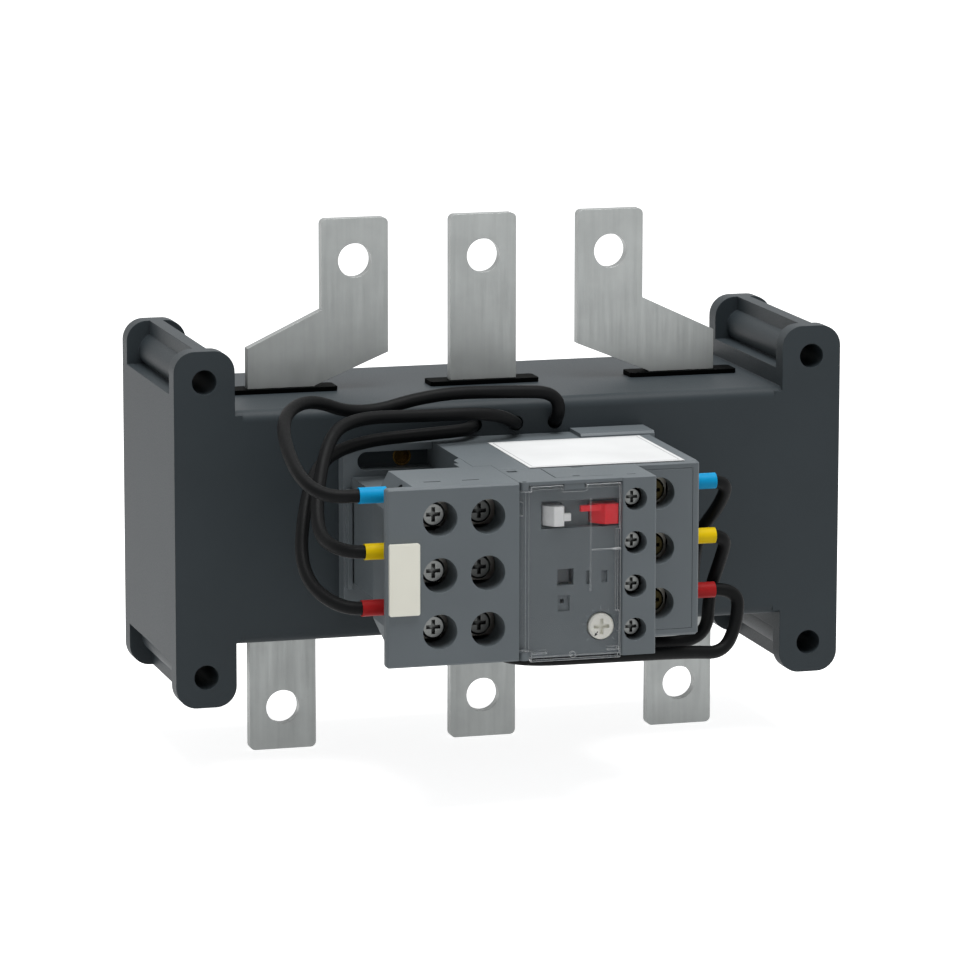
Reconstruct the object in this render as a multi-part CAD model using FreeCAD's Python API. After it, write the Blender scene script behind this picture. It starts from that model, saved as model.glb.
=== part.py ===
"""Thermal overload relay on its current-transformer block.

Frame: X to the right seen from the front, Y to the back, Z up, in millimetres.
The origin is the middle of the flat face that lies on the panel.
"""
import FreeCAD
import Part
import math
import os

V = FreeCAD.Vector

# transformer block
BLOCK_WIDTH = 180.0
BLOCK_DEPTH = 61.0
BODY_HEIGHT = 61.0
FLANGE_THICKNESS = 16.0
FLANGE_HEIGHT = 93.0
EAR_PLATE = 5.3
EAR_LEDGE_Z = 35.0
EAR_RIB = 3.5
EAR_BOSS_RADIUS = 4.7
EAR_HOLE_RADIUS = 3.2
EAR_HOLE_INSET_Z = 8.0
EAR_CORNER_RADIUS = 5.5
WALL = 3.0
BODY_EDGE_RADIUS = 2.8
CAVITY_INTO_FLANGE = 4.0
FLANGE_CORE_WALL = 2.5
COVER_SCREW_INSET_X = 5.0
COVER_SCREW_INSET_Z = 7.5
PARTITION_THICKNESS = 2.0
BACK_COVER_THICKNESS = 2.5
COVER_GAP = 0.2

# busbars
BAR_WIDTH = 18.0
BAR_THICKNESS = 3.0
BAR_CENTRE_Y = -BLOCK_DEPTH / 2 - 1.4
BAR_HOLE_RADIUS = 4.5
UPPER_PITCH = 35.0
UPPER_HOLE_Z = 64.5
LOWER_HOLE_Z = -53.8
BAR_TOP_Z = 75.6
BAR_BOTTOM_Z = -65.1
CRANK_INNER_Z = 51.7
CRANK_OUTER_Z = 42.3
CRANK_UNDER_Z = 40.0
CRANK_FOOT_Z = 31.8
BAR_CORNER_RADIUS = 1.5
BAR_SLOT_GAP = 0.15
BUSHING_WIDTH = 29.6
BUSHING_FRONT_Y = BAR_CENTRE_Y - 3.6
BUSHING_BACK_Y = BAR_CENTRE_Y + 3.6
BUSHING_RAISE = 1.2
BUSHING_COLLAR_WIDTH = 22.6
BUSHING_COLLAR_FRONT_Y = BAR_CENTRE_Y - 2.7
BUSHING_COLLAR_BACK_Y = BAR_CENTRE_Y + 2.8

# cores and windings
CORE_WIDTH = 42.0
CORE_DEPTH = BLOCK_DEPTH - 19.0
CORE_SIDE_GAP = 2.0
CORE_HEIGHT = 16.0
CORE_LEG = 10.5
BOBBIN_WALL = 0.9
BOBBIN_LENGTH = 20.6
BOBBIN_FLANGE = 1.1
WINDING_BUILD = 2.6
CORE_GAP = 0.15

# relay envelope
RELAY_WIDTH = 45.0
RELAY_CENTRE_Z = -1.2
RELAY_DEPTH = 68.3
RELAY_FRONT_Y = -BLOCK_DEPTH - RELAY_DEPTH
FACE_Y = RELAY_FRONT_Y + 2.5
STEP_Y = RELAY_FRONT_Y + 18.8
RELAY_LEFT_X = -18.2
RELAY_BACK_LEFT_X = -23.0
COVER_RIGHT_X = 8.4
AUX_RIGHT_X = 17.3
RELAY_RIGHT_X = 34.8
ADAPTER_BACK_Y = RELAY_FRONT_Y + 25.3
SHELL = 1.8
FIT_GAP = 0.1

# terminals
POLE_PITCH = 14.2
POLE_CENTRE_Z = -0.9
WELL_RADIUS = 4.4
WIRE_SCREW_X = -38.6
PIN_SCREW_X = -26.3
MAIN_SCREW_X = 24.0
MAIN_WELL_RADIUS = 4.1
AUX_SCREW_X = 11.9
AUX_PITCH = 11.0
AUX_CENTRE_Z = -0.7
AUX_WELL_RADIUS = 2.9
HEAD_RADIUS = 3.1
HEAD_HEIGHT = 2.4
SHANK_RADIUS = 1.95
THREAD_GAP = 0.05
RECESS_LENGTH = 3.6
RECESS_WIDTH = 0.9
RECESS_DEPTH = 1.3

# adapter
ADAPTER_LEFT_X = -52.3
ADAPTER_BODY_X = -49.0
ADAPTER_MID_X = -44.5
FRONT_PLATE = 2.5
NECK_TOP = 13.0
NECK_BOTTOM = -14.5
PLATE_FRONT_Y = -BLOCK_DEPTH - 5.0
PLATE_LEFT_X = -46.7
SLOT_HEIGHT = 4.8
SLOT_Z = 17.0
SLOT_LEFT_X = -43.0
LOWER_SLOT_X = -33.0
LOWER_SLOT_Z = -19.4
LOWER_SLOT_HALF = 5.0
MARKER_X0 = -51.8
MARKER_X1 = -44.0
MARKER_Z0 = -10.4
MARKER_Z1 = 7.6
MARKER_RAISE = 1.0
MARKER_FOOT_INSET = 0.75

# cover, buttons, dial
COVER_WALL = 1.0
COVER_DROP = 1.15
HINGE_X = -16.7
HINGE_Y = RELAY_FRONT_Y + 1.2
HINGE_RADIUS = 0.6
HINGE_GAP = 0.05
STRIP_FLOOR_Y = RELAY_FRONT_Y + 5.1
BUTTON_FRONT_Y = RELAY_FRONT_Y + 1.3
BUTTON_GAP = 0.3
BUTTON_Z0 = 9.6
BUTTON_Z1 = 14.6
RESET_X0 = -11.1
RESET_X1 = -6.2
STOP_X0 = 1.4
STOP_X1 = 7.9
BUTTON_STEM_END_Y = RELAY_FRONT_Y + 10.8
BUTTON_TRAVEL = 1.5
DIAL_X = 3.6
DIAL_Z = -16.4
DIAL_RADIUS = 3.3
DIAL_SHAFT_RADIUS = 1.5
DIAL_GAP = 0.05

# trip mechanism
STRIP_THICKNESS = 0.9
STRIP_DEPTH = 6.0
SLIDER_X0 = -13.9
SLIDER_X1 = -11.6
SLIDER_BACK_Y = RELAY_FRONT_Y + 50.3
SLIDER_GAP = 0.3
SLIDER_TRAVEL = 1.5
LEVER_X = -5.6
LEVER_PIVOT_Y = RELAY_FRONT_Y + 17.3
LEVER_PIVOT_Z = -3.5
LEVER_ARM = 12.0
LEVER_PIN_RADIUS = 0.9
NOSE_RADIUS = 1.0
COMPENSATOR_Z = -12.4

# wiring
WIRE_RADIUS = 1.7
SLEEVE_RADIUS = 2.05
SLEEVE_BORE = 1.76
SLEEVE_GAP = 0.15
SIDE_WIRE_Y = RELAY_FRONT_Y + 10.8
SIDE_WIRE_RISE = 4.8
MAIN_WIRE_Y = STEP_Y + 13.5
WIRE_END_Y = -BLOCK_DEPTH + 5.0
LEFT_SLEEVE_START = -49.6
LEFT_SLEEVE_ENDS = (-56.6, -55.1, -55.9)
RIGHT_SLEEVE_START = 33.2
RIGHT_SLEEVE_END = 43.4
SECONDARY_TOP_Z = 24.2
SECONDARY_BOTTOM_Z = -25.6
SECONDARY_X = (11.5, 0.9, -10.2)
INSERT_RADIUS = 2.45
INSERT_BORE = 2.05
INSERT_END = 0.5
INSERT_FLOOR = 0.5
UPPER_INSERT_X = -29.8
MOUNT_SCREW_X = (-4.0, 24.0)

# routes of the wires: corner points of the centre lines, blue, yellow and red
LEFT_ROUTES = (
    ((-38.0, SIDE_WIRE_Y, 18.0), (-50.0, SIDE_WIRE_Y, 18.1), (-69.6, SIDE_WIRE_Y, 18.1), (-70.0, -89.0, 31.9),
     (-58.7, -74.0, 35.9), (-43.2, -68.0, 29.1), (-22.7, -65.5, 33.8), (-1.5, -65.0, 33.3),
     (11.3, -64.6, 32.5), (11.5, -64.2, 24.2), (11.5, WIRE_END_Y, 24.2)),
    ((-38.0, SIDE_WIRE_Y, 3.8), (-49.2, SIDE_WIRE_Y, 3.9), (-60.6, SIDE_WIRE_Y, 3.9), (-64.2, -103.5, 6.4),
     (-57.3, -87.0, 24.9), (-48.5, -76.5, 30.3), (-27.3, -73.5, 29.5), (-7.5, -71.0, 29.0),
     (0.9, -66.0, 24.2), (0.9, WIRE_END_Y, 24.2)),
    ((-38.0, SIDE_WIRE_Y, -10.4), (-49.3, SIDE_WIRE_Y, -10.3), (-61.8, SIDE_WIRE_Y, -10.3),
     (-68.4, -105.0, -3.5), (-63.4, -92.0, 13.6), (-55.5, -79.0, 20.9), (-43.0, -71.0, 23.2),
     (-27.0, -69.0, 23.8),
     (-10.2, -66.5, 24.2), (-10.2, WIRE_END_Y, 24.2)),
)
RIGHT_ROUTES = (
    ((21.4, MAIN_WIRE_Y, 13.2), (34.1, MAIN_WIRE_Y, 13.3), (46.9, MAIN_WIRE_Y, 13.3), (46.6, -93.2, 6.9),
     (40.8, -88.0, -3.4), (42.8, -81.5, -25.0), (28.0, -74.0, -26.8), (11.5, -70.0, -25.6),
     (11.5, WIRE_END_Y, -25.6)),
    ((21.4, MAIN_WIRE_Y, -1.0), (34.1, MAIN_WIRE_Y, -0.9), (46.9, MAIN_WIRE_Y, -0.9), (46.4, -93.4, -7.8),
     (44.0, -91.4, -16.8), (43.5, -91.2, -28.9), (30.6, -90.5, -30.3), (8.0, -86.5, -28.4),
     (0.9, -71.0, -25.6), (0.9, WIRE_END_Y, -25.6)),
    ((21.4, MAIN_WIRE_Y, -15.2), (35.7, MAIN_WIRE_Y, -15.1), (50.0, MAIN_WIRE_Y, -15.1), (49.2, -98.6, -23.8),
     (45.0, -100.5, -31.2), (35.6, -102.0, -30.0), (13.4, -105.5, -29.1), (-14.5, -104.5, -29.1),
     (-13.0, -84.0, -28.0), (-10.2, -70.0, -25.6), (-10.2, WIRE_END_Y, -25.6)),
)
COLOURS = ("blue", "yellow", "red")

# derived
RELAY_TOP = RELAY_CENTRE_Z + RELAY_WIDTH / 2
RELAY_BOTTOM = RELAY_CENTRE_Z - RELAY_WIDTH / 2
COVER_TOP_Z = RELAY_TOP - COVER_DROP
RIB_NOTCH_Z = (RELAY_TOP - 8.4, RELAY_TOP - 5.0)
FLANGE_OUTER = BLOCK_WIDTH / 2
FLANGE_INNER = BLOCK_WIDTH / 2 - FLANGE_THICKNESS
FLANGE_MIDDLE = FLANGE_OUTER - FLANGE_THICKNESS / 2
CAVITY_HALF_WIDTH = FLANGE_INNER + CAVITY_INTO_FLANGE
LOWER_PITCH = CAVITY_HALF_WIDTH - CORE_WIDTH / 2 - CORE_SIDE_GAP
PARTITION_X = LOWER_PITCH / 2
FLANGE_CORE_INNER = CAVITY_HALF_WIDTH + FLANGE_CORE_WALL
FLANGE_CORE_OUTER = FLANGE_OUTER - FLANGE_CORE_WALL
BODY_TOP = BODY_HEIGHT / 2
EAR_Z = FLANGE_HEIGHT / 2 - EAR_HOLE_INSET_Z
BAR_FRONT_Y = BAR_CENTRE_Y - BAR_THICKNESS / 2
BAR_BACK_Y = BAR_CENTRE_Y + BAR_THICKNESS / 2
POLES = tuple(POLE_CENTRE_Z + k * POLE_PITCH for k in (1, 0, -1))
AUX_ROWS = tuple(AUX_CENTRE_Z + k * AUX_PITCH for k in (1.5, 0.5, -0.5, -1.5))


def at(depth):
    """Y of a plane at a depth behind the relay's front."""
    return RELAY_FRONT_Y + depth


def box(x0, x1, y0, y1, z0, z1):
    return Part.makeBox(x1 - x0, y1 - y0, z1 - z0, V(x0, y0, z0))


def cylinder_x(y, z, r, x0, x1):
    return Part.makeCylinder(r, x1 - x0, V(x0, y, z), V(1, 0, 0))


def cylinder_y(x, z, r, y0, y1):
    return Part.makeCylinder(r, y1 - y0, V(x, y0, z), V(0, 1, 0))


def cylinder_z(x, y, r, z0, z1):
    return Part.makeCylinder(r, z1 - z0, V(x, y, z0), V(0, 0, 1))


def prism_z(points, z0, z1):
    ring = [V(x, y, z0) for x, y in points]
    face = Part.Face(Part.makePolygon(ring + ring[:1]))
    return face.extrude(V(0, 0, z1 - z0))


def prism_y(points, y0, y1):
    ring = [V(x, y0, z) for x, z in points]
    face = Part.Face(Part.makePolygon(ring + ring[:1]))
    return face.extrude(V(0, y1 - y0, 0))


def prism_x(points, x0, x1):
    ring = [V(x0, y, z) for y, z in points]
    face = Part.Face(Part.makePolygon(ring + ring[:1]))
    return face.extrude(V(x1 - x0, 0, 0))


def joined(shapes):
    first = shapes[0]
    if len(shapes) > 1:
        first = first.fuse(shapes[1:])
    return first.removeSplitter()


def without(shape, tools):
    return shape.cut(tools).removeSplitter()


def edges_along(shape, axis, test):
    """Straight edges parallel to one axis whose middle passes the test."""
    picked = []
    for edge in shape.Edges:
        if edge.Curve.TypeId != "Part::GeomLine":
            continue
        start = edge.Vertexes[0].Point
        end = edge.Vertexes[-1].Point
        run = end.sub(start)
        run.normalize()
        if abs(abs(run.dot(axis)) - 1) > 1e-6:
            continue
        if test(start.add(end).multiply(0.5)):
            picked.append(edge)
    return picked


def filleted(shape, radius, axis, test):
    return shape.makeFillet(radius, edges_along(shape, axis, test))


def chamfered(shape, size, axis, test):
    return shape.makeChamfer(size, edges_along(shape, axis, test))


def save(name, shape):
    shape.exportStep("parts/" + name + ".step")
    state = "valid" if shape.isValid() else "NOT VALID"
    print(name, len(shape.Solids), "solids", round(shape.Volume, 1), "mm3", state)


def group(shapes):
    return Part.makeCompound(shapes)


def mirrored_x(shape):
    return shape.mirror(V(0, 0, 0), V(1, 0, 0))


def mirrored_z(shape):
    return shape.mirror(V(0, 0, 0), V(0, 0, 1))


def circles(shape, test):
    """Circular edges whose centre passes the test."""
    return [e for e in shape.Edges if e.Curve.TypeId == "Part::GeomCircle" and test(e.CenterOfMass)]


def cross_screw(x, z, top_y, tip_y, head_radius=HEAD_RADIUS, shank_radius=SHANK_RADIUS,
                head_height=HEAD_HEIGHT):
    """Pan head with a cross recess, its head towards the front."""
    head = cylinder_y(x, z, head_radius, top_y, top_y + head_height)
    head = head.makeChamfer(0.5, circles(head, lambda p: abs(p.y - top_y) < 1e-3))
    shank = cylinder_y(x, z, shank_radius, top_y + head_height - 0.5, tip_y)
    scale = head_radius / HEAD_RADIUS
    half_length = RECESS_LENGTH * scale / 2
    half_width = RECESS_WIDTH * scale / 2
    deep = RECESS_DEPTH * scale
    y0 = top_y - 1
    y1 = top_y + deep
    recess_flat = box(x - half_length, x + half_length, y0, y1, z - half_width, z + half_width)
    recess_tall = box(x - half_width, x + half_width, y0, y1, z - half_length, z + half_length)
    return without(joined([head, shank]), [recess_flat, recess_tall])


def centre_line(points):
    """Straight runs joined by tangent arcs through the given corner points."""
    corners = [V(*p) for p in points]
    edges = []
    start = corners[0]
    length = 0.0
    radii = []
    for before, corner, after in zip(corners, corners[1:], corners[2:]):
        run_in = corner.sub(before)
        run_out = after.sub(corner)
        shorter = min(run_in.Length, run_out.Length)
        unit_in = V(run_in).normalize()
        unit_out = V(run_out).normalize()
        half_turn = math.acos(max(-1.0, min(1.0, unit_in.dot(unit_out)))) / 2
        setback = 0.45 * shorter
        radius = setback / math.tan(half_turn)
        radii.append(radius)
        arc_start = corner.sub(V(unit_in).multiply(setback))
        arc_end = corner.add(V(unit_out).multiply(setback))
        inward = V(unit_out).sub(unit_in).normalize()
        middle = corner.add(V(inward).multiply(radius / math.cos(half_turn) - radius))
        edges.append(Part.LineSegment(start, arc_start).toShape())
        edges.append(Part.Arc(arc_start, middle, arc_end).toShape())
        length += start.distanceToPoint(arc_start) + radius * 2 * half_turn
        start = arc_end
    edges.append(Part.LineSegment(start, corners[-1]).toShape())
    length += start.distanceToPoint(corners[-1])
    return Part.Wire(edges), length, radii


def wire_tube(points, radius, name):
    path, length, radii = centre_line(points)
    start = V(*points[0])
    direction = V(*points[1]).sub(start)
    ring = Part.Wire([Part.Circle(start, direction, radius).toShape()])
    tube = path.makePipeShell([ring], True, False)
    expected = math.pi * radius ** 2 * length
    print(name, "length", round(length, 1), "radii", [round(r, 1) for r in radii], "volume ratio",
          round(tube.Volume / expected, 4))
    return tube


def sleeve(y, z, x0, x1):
    """Short coloured tube on the straight run of a wire beside its terminal."""
    return cylinder_x(y, z, SLEEVE_RADIUS, x0, x1).cut(cylinder_x(y, z, SLEEVE_BORE, x0 - 1, x1 + 1))


def bar_slot(x, gap, z0, z1):
    half = BAR_WIDTH / 2 + gap
    return box(x - half, x + half, BAR_FRONT_Y - gap, BAR_BACK_Y + gap, z0, z1)


def flange_blank():
    """Right end flange: side plate with pocketed ears above and below the ledges."""
    half_height = FLANGE_HEIGHT / 2
    blank = box(FLANGE_INNER - 2, FLANGE_OUTER, -BLOCK_DEPTH, 0, -half_height, half_height)
    blank = filleted(blank, EAR_CORNER_RADIUS, V(0, 1, 0), lambda p: p.x > FLANGE_OUTER - 1)
    neck = box(FLANGE_INNER - 3, FLANGE_INNER, -BLOCK_DEPTH - 1, 1, BODY_TOP - 1, half_height + 1)
    blank = without(blank, [neck, mirrored_z(neck)])
    blank = filleted(blank, EAR_CORNER_RADIUS, V(0, 1, 0),
                     lambda p: abs(p.x - FLANGE_INNER) < 0.1 and abs(p.z) > half_height - 1)
    front = -BLOCK_DEPTH + EAR_PLATE
    back = -EAR_PLATE
    top = half_height + 1
    outer_pocket = box(FLANGE_MIDDLE + EAR_RIB / 2, FLANGE_OUTER + 1, front, back, EAR_LEDGE_Z, top)
    inner_pocket = box(FLANGE_INNER - 1, FLANGE_MIDDLE - EAR_RIB / 2, front, back, EAR_LEDGE_Z, top)
    boss = cylinder_y(FLANGE_MIDDLE, EAR_Z, EAR_BOSS_RADIUS, front - 1, back + 1)
    pockets = [p.cut(boss) for p in (outer_pocket, inner_pocket)]
    pockets += [mirrored_z(p) for p in pockets]
    holes = [cylinder_y(FLANGE_MIDDLE, s * EAR_Z, EAR_HOLE_RADIUS, -BLOCK_DEPTH - 1, 1) for s in (1, -1)]
    core = box(FLANGE_CORE_INNER, FLANGE_CORE_OUTER, -BLOCK_DEPTH + WALL, 1, -30, 30)
    return without(blank, pockets + holes + [core])


def ct_housing():
    body = box(-FLANGE_INNER - 1, FLANGE_INNER + 1, -BLOCK_DEPTH, 0, -BODY_TOP, BODY_TOP)
    body = filleted(body, BODY_EDGE_RADIUS, V(1, 0, 0), lambda p: p.y < -BLOCK_DEPTH + 1)
    flange = flange_blank()
    outer = joined([body, flange, mirrored_x(flange)])
    inner_top = BODY_TOP - WALL
    cavity = box(-CAVITY_HALF_WIDTH, CAVITY_HALF_WIDTH, -BLOCK_DEPTH + WALL, 1, -inner_top, inner_top)
    slots = []
    for x in (-LOWER_PITCH, 0.0, LOWER_PITCH):
        half = BUSHING_COLLAR_WIDTH / 2 + FIT_GAP
        y0 = BUSHING_COLLAR_FRONT_Y - FIT_GAP
        y1 = BUSHING_COLLAR_BACK_Y + FIT_GAP
        slots.append(box(x - half, x + half, y0, y1, -BODY_TOP - 1, BODY_TOP + 1))
    shell = without(outer, [cavity] + slots)
    partitions = []
    core_back = BAR_CENTRE_Y + CORE_DEPTH / 2
    core_front = BAR_CENTRE_Y - CORE_DEPTH / 2
    for side in (-1, 1):
        x = side * PARTITION_X
        half = PARTITION_THICKNESS / 2
        partitions.append(box(x - half, x + half, -BLOCK_DEPTH + WALL - 0.5, -BACK_COVER_THICKNESS - 0.3,
                              -inner_top - 0.5, inner_top + 0.5))
    shelf_top = -CORE_HEIGHT / 2
    for x in (-LOWER_PITCH, 0.0, LOWER_PITCH):
        left = x - CORE_WIDTH / 2
        right = x + CORE_WIDTH / 2
        for x0, x1 in ((left + 1, left + 3.5), (right - 3.5, right - 1)):
            partitions.append(box(x0, x1, core_front + 2, core_back - 2, -inner_top - 0.5, shelf_top))
            partitions.append(box(x0, x1, core_front + 2, core_back - 2, -shelf_top + CORE_GAP,
                                  inner_top + 0.5))
        stop_y0 = -BLOCK_DEPTH + WALL - 0.5
        for x0, x1 in ((left, left + 2.5), (right - 2.5, right)):
            partitions.append(box(x0, x1, stop_y0, core_front - CORE_GAP, -CORE_HEIGHT / 2, CORE_HEIGHT / 2))
    for x, z in cover_screw_places():
        partitions.append(cylinder_y(x, z, 3.6, -14, -BACK_COVER_THICKNESS - 0.05))
    shell = joined([shell] + partitions)
    holes = []
    for x in SECONDARY_X:
        for z in (SECONDARY_TOP_Z, SECONDARY_BOTTOM_Z):
            holes.append(cylinder_y(x, z, WIRE_RADIUS + 0.25, -BLOCK_DEPTH - 1, -BLOCK_DEPTH + WALL + 1))
    for x, z in insert_places():
        seat = -BLOCK_DEPTH + WALL + INSERT_END + FIT_GAP
        holes.append(cylinder_y(x, z, INSERT_RADIUS + 0.02, -BLOCK_DEPTH - 1, seat))
    for x, z in cover_screw_places():
        holes.append(cylinder_y(x, z, 1.45, -13, 1))
    return without(shell, holes)


def cover_screw_places():
    x = CAVITY_HALF_WIDTH - COVER_SCREW_INSET_X
    z = BODY_TOP - COVER_SCREW_INSET_Z
    return [(-x, -z), (-x, z), (x, -z), (x, z)]


def insert_places():
    """Inserts in the block's front wall: two behind the adapter plate's slots, two behind the relay."""
    behind_relay = [(x, POLE_CENTRE_Z) for x in MOUNT_SCREW_X]
    return [(UPPER_INSERT_X, SLOT_Z), (LOWER_SLOT_X, LOWER_SLOT_Z)] + behind_relay


def back_cover():
    half_x = CAVITY_HALF_WIDTH - COVER_GAP
    half_z = BODY_TOP - WALL - COVER_GAP
    plate = box(-half_x, half_x, -BACK_COVER_THICKNESS, 0, -half_z, half_z)
    plate = filleted(plate, 1.0, V(0, 1, 0), lambda p: True)
    core_back = BAR_CENTRE_Y + CORE_DEPTH / 2
    stops = []
    for x in (-LOWER_PITCH, 0.0, LOWER_PITCH):
        for side in (-1, 1):
            middle = x + side * (CORE_WIDTH / 2 - 6)
            stops.append(box(middle - 1, middle + 1, core_back + CORE_GAP, 0.5 - BACK_COVER_THICKNESS, -6, 6))
    plate = joined([plate] + stops)
    holes = []
    for x, z in cover_screw_places():
        holes.append(cylinder_y(x, z, 1.6, -5, 1))
        holes.append(Part.makeCone(1.6, 3.1, 1.5, V(x, -1.5, z), V(0, 1, 0)))
    return without(plate, holes)


def cover_screws():
    """Countersunk screws that hold the back cover, heads just below its face."""
    made = []
    for x, z in cover_screw_places():
        head = Part.makeCone(1.5, 2.95, 1.4, V(x, -1.5, z), V(0, 1, 0))
        shank = cylinder_y(x, z, 1.4, -12, -1.4)
        slot_a = box(x - 1.7, x + 1.7, -0.9, 1, z - 0.35, z + 0.35)
        slot_b = box(x - 0.35, x + 0.35, -0.9, 1, z - 1.7, z + 1.7)
        made.append(without(joined([head, shank]), [slot_a, slot_b]))
    return group(made)


def threaded_inserts():
    """Blind brass inserts, closed at the end inside the block."""
    made = []
    for x, z in insert_places():
        end = -BLOCK_DEPTH + WALL + INSERT_END
        body = cylinder_y(x, z, INSERT_RADIUS, -BLOCK_DEPTH, end)
        made.append(body.cut(cylinder_y(x, z, INSERT_BORE, -BLOCK_DEPTH - 1, end - INSERT_FLOOR)))
    return group(made)


def bar_blank(points):
    half = BAR_THICKNESS / 2
    return prism_y(points, BAR_CENTRE_Y - half, BAR_CENTRE_Y + half)


def finish_bar(bar, upper_x, lower_x):
    bar = filleted(bar, BAR_CORNER_RADIUS, V(0, 1, 0),
                   lambda p: p.z > BAR_TOP_Z - 0.1 or p.z < BAR_BOTTOM_Z + 0.1)
    upper = cylinder_y(upper_x, UPPER_HOLE_Z, BAR_HOLE_RADIUS, BAR_FRONT_Y - 1, BAR_BACK_Y + 1)
    lower = cylinder_y(lower_x, LOWER_HOLE_Z, BAR_HOLE_RADIUS, BAR_FRONT_Y - 1, BAR_BACK_Y + 1)
    return bar.cut([upper, lower])


def outer_busbar():
    """Right-hand bar: cranked from the wide pitch in the block to the narrow pitch above it."""
    half = BAR_WIDTH / 2
    up0 = UPPER_PITCH - half
    up1 = UPPER_PITCH + half
    low0 = LOWER_PITCH - half
    low1 = LOWER_PITCH + half
    points = [(low0, BAR_BOTTOM_Z), (low1, BAR_BOTTOM_Z), (low1, CRANK_OUTER_Z), (up1, CRANK_INNER_Z),
              (up1, BAR_TOP_Z), (up0, BAR_TOP_Z), (up0, CRANK_UNDER_Z), (low0, CRANK_FOOT_Z)]
    return finish_bar(bar_blank(points), UPPER_PITCH, LOWER_PITCH)


def middle_busbar():
    half = BAR_WIDTH / 2
    points = [(-half, BAR_BOTTOM_Z), (half, BAR_BOTTOM_Z), (half, BAR_TOP_Z), (-half, BAR_TOP_Z)]
    return finish_bar(bar_blank(points), 0.0, 0.0)


def top_bushings():
    made = []
    for x in (-LOWER_PITCH, 0.0, LOWER_PITCH):
        half = BUSHING_WIDTH / 2
        top = BODY_TOP + BUSHING_RAISE
        plate = box(x - half, x + half, BUSHING_FRONT_Y, BUSHING_BACK_Y, BODY_TOP, top)
        plate = chamfered(plate, 0.6, V(0, 0, 1), lambda p: True)
        collar_half = BUSHING_COLLAR_WIDTH / 2
        y0 = BUSHING_COLLAR_FRONT_Y
        y1 = BUSHING_COLLAR_BACK_Y
        collar = box(x - collar_half, x + collar_half, y0, y1, BODY_TOP - WALL - 1.5, BODY_TOP + 0.5)
        made.append(joined([plate, collar]).cut(bar_slot(x, BAR_SLOT_GAP, BODY_TOP - 10, top + 1)))
    return group(made)


def core(x):
    """Square ring of laminations round one busbar."""
    half_x = CORE_WIDTH / 2
    half_y = CORE_DEPTH / 2
    half_z = CORE_HEIGHT / 2
    ring = box(x - half_x, x + half_x, BAR_CENTRE_Y - half_y, BAR_CENTRE_Y + half_y, -half_z, half_z)
    ring = chamfered(ring, 1.2, V(0, 0, 1), lambda p: True)
    window = box(x - half_x + CORE_LEG, x + half_x - CORE_LEG, BAR_CENTRE_Y - half_y + CORE_LEG,
                 BAR_CENTRE_Y + half_y - CORE_LEG, -half_z - 1, half_z + 1)
    return ring.cut(window)


def leg_box(x, half_length, grow):
    """Box round the front leg of a core, grown outwards on its four long sides."""
    leg_front = BAR_CENTRE_Y - CORE_DEPTH / 2
    y0 = leg_front - grow
    y1 = leg_front + CORE_LEG + grow
    return box(x - half_length, x + half_length, y0, y1, -CORE_HEIGHT / 2 - grow, CORE_HEIGHT / 2 + grow)


def bobbin(x):
    half = BOBBIN_LENGTH / 2
    tube = leg_box(x, half, CORE_GAP + BOBBIN_WALL)
    ends = []
    for x0 in (x - half, x + half - BOBBIN_FLANGE):
        middle = x0 + BOBBIN_FLANGE / 2
        ends.append(leg_box(middle, BOBBIN_FLANGE / 2, CORE_GAP + BOBBIN_WALL + WINDING_BUILD + 0.5))
    return joined([tube] + ends).cut(leg_box(x, half + 1, CORE_GAP))


def winding(x):
    """Wound copper between the bobbin's end flanges, its corners rounded like laid wire."""
    half = BOBBIN_LENGTH / 2 - BOBBIN_FLANGE - 0.05
    outer = leg_box(x, half, CORE_GAP + BOBBIN_WALL + WINDING_BUILD)
    outer = filleted(outer, 1.8, V(1, 0, 0), lambda p: True)
    return outer.cut(leg_box(x, half + 1, CORE_GAP + BOBBIN_WALL + 0.02))


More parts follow.
